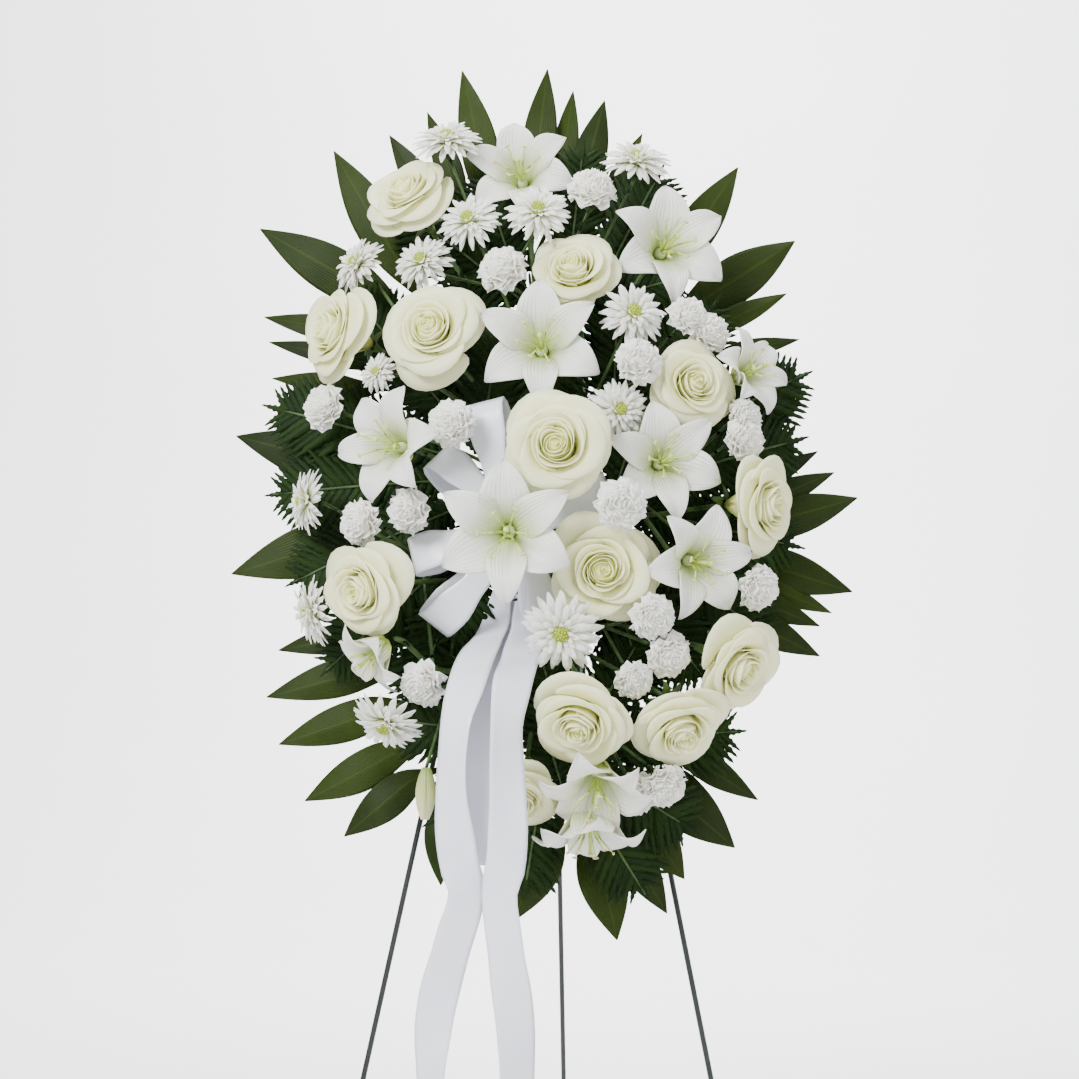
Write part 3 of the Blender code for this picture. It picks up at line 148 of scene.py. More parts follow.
# The shift from the source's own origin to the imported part's, and the leaning plane of the front legs:
# how far forward its foot and its apex are, and the apex's height
SHIFT = Vector((-0.0015, 0.0088, 0.0))
FOOT_Y, APEX_Y, APEX_Z = -0.33, -0.06, 1.48
SLOPE = (APEX_Y - FOOT_Y) / APEX_Z

# For each fan the stem's points, then each leaf's root, tip and width, all in centimetres across and
# up. A height above the leaning plane stands third in a stem point, and last for a leaf's tip.
PALMS = [
    ("palm_top", [(-0.6, 133.5, 2.8), (-1.5, 141, 2.5), (-2, 145, 2.4)],
     [(-6, 151, -10.5, 170, 4.6, 3.0), (-9, 150, -14.8, 165, 3.4, 1.9), (-11, 149, -19.3, 162, 3.8, 2.8),
      (-1.5, 152, 0, 170, 4.2, 3.4), (1.5, 152, 3.1, 167.5, 3.2, 2.0), (3.5, 151, 7, 166, 4.2, 3.2),
      (6, 150, 11.6, 162, 2.8, 2.2)]),
    ("palm_upper_right", [(2.6, 128, 2.7), (8, 134, 2.6), (11, 137, 2.6)],
     [(14, 143, 23.2, 157.5, 4.8, 3.4), (16, 139.5, 30, 148.5, 5.6, 2.2), (17, 136.5, 29, 142, 2.8, 3.2),
      (18, 134, 30.5, 136.5, 2.4, 2.4)]),
    ("palm_upper_left", [(-2.6, 127, 2.7), (-8, 133, 2.6), (-11, 136, 2.6)],
     [(-15, 142, -26, 160, 5.4, 3.4), (-17, 140, -35, 150.5, 5.8, 2.2), (-18, 136.5, -34, 139.5, 3.2, 3.2),
      (-18, 133.5, -33.5, 136.5, 2.6, 2.2), (-18, 130.5, -32.8, 132, 2.8, 3.2)]),
    ("palm_left", [(-2.8, 117, 2.7), (-9, 117, 2.8), (-13, 117, 3.0)],
     [(-18, 120, -36.8, 125, 5.8, 3.8), (-17, 114, -36.9, 108.5, 6.4, 3.4)]),
    ("palm_lower_left", [(-2.7, 106, 2.7), (-8, 102, 2.8), (-10, 94, 3.0), (-10.5, 86, 3.2)],
     [(-15, 102.5, -31, 99.5, 3.8, 3.6), (-15, 98.5, -32.3, 94, 4.6, 3.2), (-15, 93.5, -30.7, 88.5, 4.6, 3.0),
      (-14, 89, -27.4, 82, 4.6, 3.2), (-12.8, 86, -22.6, 78, 4.4, 3.6),
      (-11.4, 82.5, -11.2, 72.5, 3.8, 3.4)]),
    ("palm_right", [(2.8, 113, 2.7), (10, 113, 2.8), (17, 112.5, 3.1)],
     [(21, 117, 32.6, 123, 2.8, 4.4), (22, 115.4, 34.5, 120.5, 3.2, 3.8), (22, 113.4, 37.2, 117.5, 4.8, 3.4),
      (22, 111.3, 36.5, 106.5, 4.8, 3.8), (21.5, 109.2, 34.1, 104, 3.0, 3.2),
      (21, 107.3, 32.7, 102.5, 3.2, 4.0), (19, 106, 32.7, 99, 4.2, 3.6)]),
    ("palm_bottom", [(1.6, 96, 2.7), (3.6, 87.6, 2.8), (4.6, 84.5, 3.0)],
     [(14, 90, 25.5, 82.5, 3.6, 3.8), (12, 86.5, 22.8, 77, 5.8, 3.0), (10, 83, 17, 73.5, 5.2, 3.8),
      (8.5, 80.5, 15, 69.5, 4.4, 3.0), (6, 80, 9.3, 66.5, 5.8, 3.4), (2.5, 80, -2.8, 68.5, 5.6, 3.8),
      (-1, 80.5, -5.6, 65.5, 2.4, 3.0)]),
]


def on_spray(x, lift, z):
    """A place by width, height, and distance in front of the leaning plane of the front legs."""
    return Vector((x, FOOT_Y + SLOPE * z - lift, z)) + SHIFT


def cm(x, z, lift):
    """The same, from centimetres."""
    return on_spray(x / 100, lift / 100, z / 100)


def piece(name, bm, materials, replaces=None, thickness=0.0, levels=0):
    """Makes a bmesh one of the spray's pieces: smoothed, given its thickness, and riding with the easel."""
    mesh = bpy.data.meshes.new(name)
    bmesh.ops.remove_doubles(bm, verts=bm.verts, dist=0.00002)
    for face in bm.faces:
        face.smooth = True
    bm.to_mesh(mesh)
    bm.free()
    made = bpy.data.objects.new(name, mesh)
    bpy.context.scene.collection.objects.link(made)
    for material in materials:
        mesh.materials.append(material)
    if levels:
        round_off = made.modifiers.new("Smooth", "SUBSURF")
        round_off.levels = round_off.render_levels = levels
    if thickness:
        wall = made.modifiers.new("Thickness", "SOLIDIFY")
        wall.thickness = thickness
        wall.offset = 0
    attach(made, "spray")
    if replaces:
        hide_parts(replaces)
    return made


def tinted():
    """A new bmesh with the Tint that petals, leaves and ribbon are coloured by."""
    bm = bmesh.new()
    bm.verts.layers.float_color.new("Tint")
    return bm


def give(verts, number):
    """Gives the faces round these points one of their piece's materials."""
    for face in {f for v in verts for f in v.link_faces}:
        face.material_index = number


def sheet(bm, across, along, place, tone=0.5, number=0, depth=0.5):
    """A thin blade: a grid whose points move to place(u, t), u from -1 to 1 across and t up its length.
    Its Tint holds t, the distance from the middle, the blade's own tone, and how deep it sits."""
    tint = bm.verts.layers.float_color["Tint"]
    made = bmesh.ops.create_grid(bm, x_segments=across, y_segments=along, size=0.5)["verts"]
    for v in made:
        u, t = 2 * v.co.x, v.co.y + 0.5
        v.co = place(u, t)
        v[tint] = (t, abs(u), tone, depth)
    give(made, number)


def tube(bm, points, radii, sides=6, number=0):
    """A round stalk along the points, closed at both ends."""
    tint = bm.verts.layers.float_color["Tint"]
    last = len(points) - 1
    before = None
    for i, (p, r) in enumerate(zip(points, radii)):
        way = (points[min(i + 1, last)] - points[max(i - 1, 0)]).normalized()
        turned = Vector((0, 0, 1)).rotation_difference(way).to_matrix().to_4x4()
        ring = bmesh.ops.create_circle(bm, cap_ends=i in (0, last), segments=sides, radius=r,
                                       matrix=Matrix.Translation(p) @ turned)["verts"]
        for v in ring:
            v[tint] = (i / last, 0, 0.5, 0.5)
        edges = {e for v in ring for e in v.link_edges}
        if before:
            bmesh.ops.bridge_loops(bm, edges=list(before | edges))
        give(ring, number)
        before = edges


def along_path(path, count):
    """Evenly spread points on a smooth curve through the path's points."""
    full = [path[0] * 2 - path[1]] + list(path) + [path[-1] * 2 - path[-2]]
    points = []
    for i in range(1, len(full) - 2):
        a, b, c, d = full[i - 1:i + 3]
        points += interpolate_bezier(b, b + (c - a) / 6, c - (d - b) / 6, c, 9)[:-1]
    points.append(path[-1])
    lengths = [0]
    for a, b in zip(points, points[1:]):
        lengths.append(lengths[-1] + (b - a).length)
    spread, k = [], 0
    for i in range(count):
        goal = lengths[-1] * i / (count - 1)
        while k < len(points) - 2 and lengths[k + 1] < goal:
            k += 1
        share = (goal - lengths[k]) / max(lengths[k + 1] - lengths[k], 1e-9)
        spread.append(points[k].lerp(points[k + 1], share))
    return spread


def nearest_on(path, point):
    """The place on a path that is nearest to a point."""
    best = None
    for a, b in zip(path, path[1:]):
        t = min(max((point - a).dot(b - a) / (b - a).length_squared, 0), 1)
        q = a.lerp(b, t)
        if best is None or (q - point).length < (best - point).length:
            best = q
    return best


def calc(material, operation, *terms):
    """A sum on plain numbers and other nodes' outputs."""
    return node(material, "Math", enumerate(terms), operation=operation).outputs[0]


def mix(material, share, one, other, blend="MIX"):
    """The second colour laid over the first. Each is plain or another node's output."""
    one, other = [c if isinstance(c, bpy.types.NodeSocket) else (*c, 1) for c in (one, other)]
    made = node(material, "Mix", {"Factor": share, "A": one, "B": other}, data_type="RGBA", blend_type=blend)
    return made.outputs["Result"]


def tints(material):
    """What sheet() writes into Tint: the way up the blade, out from its middle, its tone, its depth."""
    tint = node(material, "VertexColor", layer_name="Tint").outputs
    parts = node(material, "SeparateColor", {"Color": tint["Color"]}).outputs
    return parts["Red"], parts["Green"], parts["Blue"], tint["Alpha"]


def ribbed(material, out, count, strength, depth):
    """Fine ridges along a blade."""
    raised(material, calc(material, "SINE", calc(material, "MULTIPLY", out, count)), strength, depth)


def leaf_green(name, shade, light, rough, ribs, coat=0.0):
    """Leaf colour: uneven between two greens, lighter along the rib, with fine ridges along the blade."""
    material = finish(name, shade, rough, Coat_Weight=coat, Coat_Roughness=0.35, Specular_IOR_Level=0.12)
    _, out, tone, _ = tints(material)
    uneven = calc(material, "MULTIPLY", grain(material, 28, 4), 0.5)
    green = ramp(material, calc(material, "MULTIPLY_ADD", tone, 0.55, uneven), (0.2, shade), (0.85, light))
    near_rib = calc(material, "MULTIPLY", ramp(material, out, (0.0, (1, 1, 1)), (0.10, (0, 0, 0))), 0.4)
    rib = (light[0] * 1.8, light[1] * 1.6, light[2] * 1.6)
    feed(material, "Base Color", mix(material, near_rib, green, rib))
    ribbed(material, out, ribs, 0.35, 0.0006)
    return material


palm_green = leaf_green("Palm_Green", (0.006, 0.014, 0.001), (0.024, 0.042, 0.002), 0.45, 60, coat=0.02)
stalk_green = mottle(finish("Stalk_Green", (0.03, 0.07, 0.012), 0.55),
                     (0.015, 0.04, 0.006), (0.05, 0.10, 0.02), 60, bump=0.1, depth=0.0003)
luck = random.Random(5)
for name, stem_points, leaves in PALMS:
    path = [cm(x, z, lift) for x, z, lift in stem_points]
    bm = tinted()
    radii = [STALK_R - STALK_TAPER * i for i in range(STALK_STEPS)]
    tube(bm, along_path(path, STALK_STEPS), radii, 8, 1)
    for rx, rz, tx, tz, width, lift in leaves:
        tip, root = cm(tx, tz, lift), cm(rx, rz, (lift + stem_points[-1][2]) / 2)
        start = nearest_on(path, root)
        out = tip - root
        bow = Vector((0, LEAF_BOW, 0))
        bends = [start, root + out * 0.14 - bow * 0.5, root + out * 0.52 - bow, tip]
        rib = along_path(bends, LEAF_STEPS + 1)
        bare = (root + out * 0.02 - start).length
        first = bare / (bare + out.length)
        half = width / 200
        side = out.cross(Vector((0, -1, 0))).normalized()
        fold = luck.uniform(0.10, 0.26)
        sway = luck.uniform(-0.05, 0.05)
        ripple = luck.uniform(0, 6)

        def place(u, t):
            i = min(int(t * LEAF_STEPS), LEAF_STEPS - 1)
            middle = rib[i].lerp(rib[i + 1], t * LEAF_STEPS - i)
            blade = max(0, (t - first) / (1 - first))
            w = half * max(0.06, 1.02 * math.sin(math.pi * min(1, blade ** 0.95 * 0.95 + 0.05)) ** 0.95)
            if t >= 0.999:
                w = half * 0.02
            pleat = Vector((0, -1, 0)) * (abs(u) * w * fold + 0.0012 * math.sin(11 * t + ripple) * abs(u))
            return middle + side * (u * w + sway * half * math.sin(math.pi * blade)) - pleat

        sheet(bm, 6, LEAF_STEPS, place, luck.uniform(0.1, 0.9))
    piece(name.title(), bm, [palm_green, stalk_green], name, LEAF_THICKNESS, 1)

# Ferns
# Fronds of leatherleaf fern: a wiry stalk with rows of toothed leaflets that get shorter to the tip,
# gathered in four bunches whose stalks go into the foam behind the blooms.
LEAFLET_PITCH = 0.0095
SPINE_STEPS, SPINE_R, SPINE_ARCH = 8, 0.0013, 0.008
BUNCH_R = 0.003
FROND_THICKNESS = 0.0006

# For each bunch its foot in the foam and the end of the gathered stalks, across, up and above the
# plane, then for each frond where its leafy part starts, where its tip is, and its half width
FERNS = [
    ("fern_right", (2.6, 119, 3.9), (6.4, 119.4, 4.3),
     [(9, 124, 5.2, 20, 140, 7.0, 6.5), (11, 121.5, 5.6, 30, 131.5, 7.6, 7),
      (12, 119, 5.8, 29.5, 124, 7.6, 6.5), (11, 116, 5.6, 29, 112, 7.6, 6.5),
      (9.5, 112.5, 5.2, 26, 102, 7.4, 6.5), (8.5, 126.5, 5.8, 9, 142.5, 7.2, 6),
      (9.5, 109, 6.2, 19, 97, 7.6, 6), (7.0, 116.5, 9.4, 0, 104, 10.4, 6.5)]),
    ("fern_left", (-2.6, 120, 3.9), (-6.4, 120.4, 4.3),
     [(-9, 125, 5.2, -22, 141, 7.0, 6.5), (-11, 122.5, 5.6, -31, 128, 7.6, 7),
      (-12, 119.5, 5.8, -30.5, 118, 7.6, 6.5), (-10.5, 116, 5.4, -28, 108, 7.4, 6.5),
      (-8.5, 112, 5.0, -24, 98, 7.0, 6.5), (-8.0, 127.5, 4.0, -9.5, 143, 7.2, 6.5),
      (-7.0, 122.5, 9.2, -4.5, 137, 10.0, 6),
      (-7.0, 115, 8.0, -9.5, 101, 9.2, 5.5)]),
    ("fern_top", (1.5, 133.2, 3.1), (2.0, 138.6, 3.5),
     [(-3, 142, 3.9, -16, 152.5, 4.9, 6.5), (-3.2, 144.5, 4.0, -6.5, 156, 5.4, 5.5),
      (3, 143.5, 4.0, 4.5, 157.5, 4.8, 5.5), (6, 142, 4.1, 15, 150.5, 5.4, 6),
      (1.0, 138.8, 9.8, 0.8, 127.5, 10.8, 5.5)]),
    ("fern_bottom", (0.6, 96, 4.0), (2.2, 88.4, 5.2),
     [(7, 89, 5.8, 22, 90.5, 7.6, 6.5), (6.5, 86, 5.8, 17, 80, 7.2, 6), (4.5, 84, 5.8, 10.5, 74.5, 7.0, 5.5),
      (1.5, 84, 5.8, 0.5, 74.5, 7.0, 5), (-2, 86.5, 5.6, -11.5, 80.5, 7.0, 5.5),
      (6.5, 91.5, 6.2, 11.5, 100.5, 7.4, 5.5), (4.0, 91.5, 9.4, 1.5, 102, 10.4, 5.5)]),
]

# Short inner fronds that close the gaps between the blooms, in the same order of numbers
INNER = {
    "fern_right": [(8.5, 117.5, 6.6, 12.5, 129, 7.2, 5.5), (8, 110, 6.0, 12.5, 94.5, 7.0, 6)],
    "fern_left": [(-8.5, 109.5, 6.0, -14.5, 93.5, 6.6, 6)],
    "fern_top": [(7, 143, 4.6, 13.5, 156, 5.4, 6), (6, 140.5, 4.6, 15.5, 143.5, 5.6, 6)],
    "fern_bottom": [(-3, 90, 6.2, -15.5, 91.5, 7.0, 6), (0, 91.5, 6.4, -10.5, 99.5, 7.2, 6),
                    (3, 84.5, 8.4, -0.5, 96, 9.4, 5.5)],
}
fern_green = leaf_green("Fern_Green", (0.004, 0.014, 0.002), (0.013, 0.034, 0.004), 0.55, 18)


def moved_frond(solid, stub, base, tip, reach=0.008):
    """The frond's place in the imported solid, which keeps it up to 16 mm from where the photo has it."""
    points = np.array([v.co for v in solid.data.vertices])
    for dx in (0, -1, 1, -2, 2):
        for dz in (0, -1, 1, -2, 2):
            for dy in (0, -1, 1, -2):
                move = Vector((dx, dy * 0.8, dz)) * reach
                b, t = base + move * 0.6, tip + move
                end = t + (t - b).normalized() * 0.012
                if np.abs(points - np.array(end)).sum(axis=1).min() < 0.0003:
                    return b, t
    return base, tip


for name, foot, end, rows in FERNS:
    start, stub = cm(*foot), cm(*end)
    into = (stub - start).normalized()
    bm = tinted()
    tube(bm, [start, stub], [BUNCH_R, BUNCH_R], 8, 1)
    for bx, bz, bl, tx, tz, tl, half in rows + INNER[name]:
        base, tip = moved_frond(nodes[name], stub, cm(bx, bz, bl), cm(tx, tz, tl))
        way = (tip - base).normalized()
        side = way.cross(Vector((0, -1, 0.18))).normalized()
        face = side.cross(way).normalized()
        spine = []
        for i in range(SPINE_STEPS + 1):
            arch = face * SPINE_ARCH * math.sin(math.pi * i / SPINE_STEPS)
            spine.append(base.lerp(tip, i / SPINE_STEPS) + arch)
        stalk_points = [stub - into * 0.003] + spine + [tip + way * 0.010]
        tube(bm, stalk_points, [SPINE_R] * len(spine) + [0.0008, 0.0004], 5, 1)
        count = max(9, round((tip - base).length / LEAFLET_PITCH))
        for i in range(count):
            share = 1 - i / count
            length = half / 100 * (0.30 + 0.70 * math.sin(math.pi * (0.26 + 0.62 * share)))
            length *= min(1, 0.45 + 1.9 * share)
            k = i / count * SPINE_STEPS
            root = spine[int(k)].lerp(spine[int(k) + 1], k - int(k))
            for sign in (1, -1, 0) if i == count - 1 else (1, -1):
                lean = way * (0.50 + 0.5 * (1 - share)) + side * sign + face * luck.uniform(-0.16, 0.12)
                lean.normalize()
                across = lean.cross(face).normalized()
                wide = min(0.023, length * 0.44)
                droop = luck.uniform(0.02, 0.16)

                def place(u, t):
                    teeth = 0.66 + 0.40 * (round(t * 10) % 2)
                    w = wide * (1.02 - t) ** 0.8 * teeth if t < 0.99 else 0.0004
                    p = root + lean * (length * t) + across * (u * w * 0.5)
                    return p - face * (droop * length * t * t + abs(u) * w * 0.18)

                sheet(bm, 2, 10, place, luck.uniform(0.0, 0.8))
    piece(name.title(), bm, [fern_green, stalk_green], name, FROND_THICKNESS)

# Where the blooms and the bow stand
# Each flower's cut stem is pushed into the foam until its bloom is free of the others, so the same rule
# as for the solids finds every bloom: its place in the photograph, then apart until nothing touches.
# The foam: its middle's height, its width and height, and how far its front is from the legs' plane
MIDDLE_Z, FOAM_W, FOAM_H, FOAM_FRONT = 1.13, 0.10, 0.46, 0.084925
# How far in front of the legs' plane each kind of stem is rooted, how far from there it shows, and how
# far it stays from the foam's ends
CORE_LIFT = {"rose": 0.032, "carnation": 0.036, "lily": 0.040, "mum": 0.044}
PEG_CLEAR, END_CLEAR = 0.026, 0.02
# The dome of the blooms: its middle's height, half its size, its depth at the rim and its rise from there,
# and how far a bloom near the side or the end turns, in degrees
DOME_Z, DOME_HALF_W, DOME_HALF_H, DOME_EDGE, DOME_RISE = 1.16, 0.30, 0.44, 0.110, 0.105
SIDE_X, SIDE_YAW, END_Z, END_PITCH = 0.28, 48, 0.42, 44
RIBBON_W = 0.044

# Blooms as read from the photo: centimetres across, centimetres up, width in centimetres, then in
# degrees how far it faces right and up, where that isn't the dome's own direction, and a lily's roll
ROSES = [
    (-15, 152.5, 9.8, -30, 38),
    (-23, 136.5, 10.0, -52, 14),
    (-12, 136, 10.6, -12, 18),
    (5, 143, 9.4, -8, 30),
    (17.5, 131, 9.2, 24, 12),
    (2.5, 124, 11.4, 0, 8),
    (24.5, 117, 10.0, 58, 0),
    (9, 108.5, 11.2, 8, 0),
    (-18.5, 106.5, 10.2, -34, -8),
    (22.5, 98.5, 9.6, 42, -20),
    (6, 93.5, 10.2, -8, -34),
    (16, 92, 9.6, 24, -38),
    (0.5, 84.5, 8.0, -4, -40),
]
LILIES = [
    [(-2.5, 157, 14.0, -4, 24, 8)],
    [(15.5, 147, 15.4, 22, 14, 20)],
    [(1.5, 134, 15.6, 0, 12, 4)],
    [(-16, 123.5, 14.0, -30, 6, 12)],
    [(-2.5, 113.5, 16.6, 0, 0, 0)],
    [(15, 121, 14.4, 16, 6, 24), (17.5, 110, 14.0, 30, -4, 10), (24, 131, 11, 48, 18, 0)],
    [(6, 85.5, 13.6, 0, -48, 14), (6.5, 79, 14.2, 6, -72, 0)],
    [(-18, 99.5, 10.4, -52, -38, 10)],
]
BUD = (-12, 84, 2.2, -10, -84)
CARNATIONS = [
    [(6, 154, 5.8), (-4, 144, 5.8)],
    [(12.5, 132.5, 5.6), (17, 138.5, 5.0), (20, 136, 5.2)],
    [(-25, 128, 5.6), (-9, 125.5, 5.6)],
    [(-14.3, 115.3, 5.4), (-19.8, 114.8, 5.4), (-12.5, 96.5, 5.4)],
    [(10.5, 117, 6.0), (24, 124, 5.2), (24.5, 127.8, 4.4), (25.5, 107, 5.4)],
    [(14, 104.5, 5.4), (15.5, 99.5, 5.4), (11.5, 96, 4.6)],
    [(11, 84, 5.8), (15, 85.5, 5.4)],
]
MUMS = [
    [(-8.5, 150, 8.2), (-11, 159, 8.8, -10, 62), (-13.5, 145, 7.8), (0.5, 149.5, 8.6)],
    [(11, 157, 8.8, 14, 58)],
    [(10, 139, 8.4), (10, 127.5, 7.8)],
    [(-21.5, 145, 7.8, -48, 30), (-18, 132, 5.2)],
    [(-26.5, 117, 8.2, -66, 4), (-25, 104.5, 8.4, -66, -10)],
    [(4.5, 101, 9.6, 0, -10)],
    [(-16.5, 92, 9.0, -32, -48), (-6, 94.5, 6.4)],
]
# How far a root follows its bloom up, the rise of a chrysanthemum's, how far along a lone bloom's stem
# bends and a shared one forks, how far out of the foam that is, and where it is for two stems that
# have to go round the bow
ROOT_FOLLOWS, MUM_RISE = 0.50, 0.008
LONE_BEND, FORK_AT, FORK_OUT = 0.62, 0.55, 0.014
FORKS = {"carnation_stem_4": (-13.6, 110.0, 9.0), "lily_stem_8": (-9.5, 97, 8.8)}


def outside(p):
    """How far a place is outside the foam, less than nothing inside it."""
    local = PLANE.inverted() @ p
    return max(abs(local.x) - FOAM_W / 2, abs(local.z) - FOAM_H / 2, -local.y - FOAM_FRONT)


PLANE = Matrix.Translation(on_spray(0, 0, MIDDLE_Z)) @ Matrix.Rotation(-math.atan(SLOPE), 4, "X")

# Blooms as balls, to keep them and their stems clear of each other. Sizes are shares of the width.
BALLS = {
    "rose": [(0, 0, 0.02, 0.49), (0, 0, -0.30, 0.25)],
    "carnation": [(0, 0, 0, 0.50), (0, 0, -0.44, 0.18)],
    "mum": [(0, 0, 0, 0.26)] + [(0.38 * math.cos(math.pi / 6 * i), 0.38 * math.sin(math.pi / 6 * i), 0, 0.125)
                                for i in range(12)],
    "lily": [(0, 0, -0.22, 0.15), (0, 0, -0.38, 0.08), (0, 0, 0.04, 0.14)]
    + [(r * math.cos(math.pi / 6 * i), r * math.sin(math.pi / 6 * i), z, b)
       for r, z, b in ((0.24, 0.0, 0.12), (0.42, 0.01, 0.09)) for i in (1, 3, 5, 7, 9, 11)],
    "bud": [(0, 0, z, 0.5) for z in (-1.0, -0.5, 0, 0.5, 1.0)],
}
# How far a bloom's foot is behind its middle, in shares of its width, and the radius of the stem right
# under a bloom and of the main stem in the foam
BASE = {"rose": 0.44, "carnation": 0.58, "mum": 0.26, "lily": 0.46, "bud": 1.3}
STEM_R = {"rose": 0.003, "carnation": 0.002, "mum": 0.002, "lily": 0.0032, "bud": 0.0018}
MAIN_R = {"rose": 0.003, "carnation": 0.0026, "mum": 0.0026, "lily": 0.004}


def facing(yaw, pitch):
    """The way a bloom faces, from degrees to the right and up."""
    y, p = math.radians(yaw), math.radians(pitch)
    return Vector((math.sin(y) * math.cos(p), -math.cos(y) * math.cos(p), math.sin(p)))


class Head:
    """One bloom or bud: its middle, the way it faces, and the balls that stand for it."""

    def __init__(self, kind, x, z, width, yaw=None, pitch=None, roll=0):
        self.kind = kind
        self.size = width / 100
        x, z = x / 100, z / 100
        if yaw is None:
            yaw = SIDE_YAW * x / SIDE_X
            pitch = END_PITCH * (z - DOME_Z) / END_Z
        self.way = facing(yaw, pitch)
        out = 1 - (x / DOME_HALF_W) ** 2 - ((z - DOME_Z) / DOME_HALF_H) ** 2
        self.centre = on_spray(x, DOME_EDGE + DOME_RISE * max(out, 0), z)
        self.free = 1.0
        self.neck_length = 0.0
        turned = Vector((0, 0, 1)).rotation_difference(self.way)
        self.turn = turned @ Quaternion((0, 0, 1), math.radians(roll))
        self.balls = np.array([[*(self.turn @ Vector(b[:3])), b[3]] for b in BALLS[kind]]) * self.size

    def base(self):
        return self.centre - self.way * BASE[self.kind] * self.size

    def neck(self):
        return self.base() - self.way * self.neck_length

    def frame(self):
        return Matrix.Translation(self.centre) @ self.turn.to_matrix().to_4x4()


class Stem:
    """One flower stem, with one bloom or several that branch from it."""

    def __init__(self, name, kind, heads):
        self.name = name
        self.kind = kind
        self.heads = heads
        base = sum((h.base() for h in heads), Vector()) / len(heads)
        height = MIDDLE_Z + ROOT_FOLLOWS * (base.z - DOME_Z)
        height = max(height, MIDDLE_Z - FOAM_H / 2 + END_CLEAR)
        height = min(height, MIDDLE_Z + FOAM_H / 2 - END_CLEAR)
        height += MUM_RISE if kind == "mum" else 0
        self.core = on_spray(0, CORE_LIFT[kind], height)
        self.end = self.core + (base - self.core).normalized() * PEG_CLEAR
        self.share = LONE_BEND if len(heads) == 1 else FORK_AT
        while outside(self.end.lerp(base, self.share)) < FORK_OUT and self.share < 0.9:
            self.share += 0.02
        self.fork = cm(*FORKS[name]) if name in FORKS else self.end.lerp(base, self.share)


flowers = []
for i, row in enumerate(ROSES):
    flowers.append(Stem(f"rose_{i + 1}", "rose", [Head("rose", *row)]))
for i, rows in enumerate(LILIES):
    flowers.append(Stem(f"lily_stem_{i + 1}", "lily", [Head("lily", *row) for row in rows]))
flowers[-1].heads.append(Head("bud", *BUD))
for i, rows in enumerate(CARNATIONS):
    flowers.append(Stem(f"carnation_stem_{i + 1}", "carnation", [Head("carnation", *row) for row in rows]))
for i, rows in enumerate(MUMS):
    flowers.append(Stem(f"chrysanthemum_stem_{i + 1}", "mum", [Head("mum", *row) for row in rows]))

# The lily in the middle of the bow stays where it is: its stem goes through the bow's knot
BOW_NECK, KNOT_BEHIND, BOW_ROOT_Z = 0.05, 0.028, 1.115
bow_lily = flowers[len(ROSES) + 4]
bow_head = bow_lily.heads[0]
bow_head.free = 0.0
bow_head.centre = cm(-2.5, 113.5, 24.5)
bow_head.neck_length = BOW_NECK
KNOT = bow_head.base() - bow_head.way * KNOT_BEHIND
bow_lily.fork = bow_head.neck() - bow_head.way * 0.01
bow_lily.core = on_spray(0, CORE_LIFT["lily"], BOW_ROOT_Z)
bow_lily.end = bow_lily.core + (bow_lily.fork - bow_lily.core).normalized() * PEG_CLEAR

# Bow loops: where each reaches, centimetres across, up and above the plane, and how far its middle
# stands in front of the knot's. The ribbon is gathered narrower at the knot.
GATHERED_W, KNOT_R, LOOP_GAP, LOOP_SWELL = 0.013, 0.009, 0.005, 0.022
LOOPS = [
    (-5.5, 128.5, 19, 0.3),
    (-11.5, 122, 19.5, 0.3),
    (8.5, 118.5, 19.5, 0.3),
    (-14.2, 110.4, 19, 0.3),
    (-11.9, 103.0, 19.5, 1.2),
    (0.9, 103.0, 20, 1.6),
]
# Tails: points across, up and in front of the origin in centimetres, and the strip's slant in degrees
TAILS = [
    ("ribbon_tail_left", -0.007,
     [(-3.8, 108, 24.0, 0), (-4.7, 103, 24.8, 0), (-6.1, 99.8, 31.0, -4), (-6.9, 96.6, 36.8, -20),
      (-8.0, 92, 39.2, -34), (-8.3, 84.5, 39.4, -34), (-7.6, 77.5, 39.4, -8), (-6.6, 73.5, 39.4, 34),
      (-8.2, 68, 39.4, 22), (-10.2, 60, 39.4, -14), (-10.6, 52, 39.4, -36), (-9.6, 43, 39.4, -18)]),
    ("ribbon_tail_right", 0.007,
     [(-1.4, 108, 23.8, 0), (-1.2, 103, 24.6, 0), (-1.2, 99.8, 30.8, 6), (-1.8, 96.6, 37.0, 22),
      (-2.2, 92, 39.6, 36), (-2.0, 84.5, 39.8, 34), (-2.2, 77.5, 39.8, 4), (-3.0, 73.5, 39.8, -30),
      (-2.4, 68, 39.8, -16), (-1.3, 60, 39.8, 14), (-1.0, 52, 39.8, 34), (-1.8, 42.5, 39.8, 14)]),
    ("ribbon_tail_middle", 0.0,
     [(-2.8, 107, 23.0, 0), (-3.2, 101.5, 24.0, 0), (-4.0, 98.2, 29.4, 2), (-4.6, 95, 34.0, 6),
      (-5.2, 90.5, 36.4, 10), (-4.9, 83.5, 37.0, -6), (-5.2, 76.5, 37.0, 8)]),
]


def tail_path(offset, rows):
    """A tail's centre line, from behind the knot and down, with its width's way and its widths."""
    path = [KNOT + Vector((offset, 0.0145 if offset else 0.0168, -0.004))]
    path += [Vector((x / 100, -y / 100, z / 100)) + SHIFT for x, z, y, _ in rows]
    sides = [Vector((1, 0, 0))]
    sides += [Vector((math.cos(math.radians(a)), math.sin(math.radians(a)), 0)) for _, _, _, a in rows]
    return path, sides, [0.012, 0.018, 0.032] + [RIBBON_W] * (len(rows) - 2)


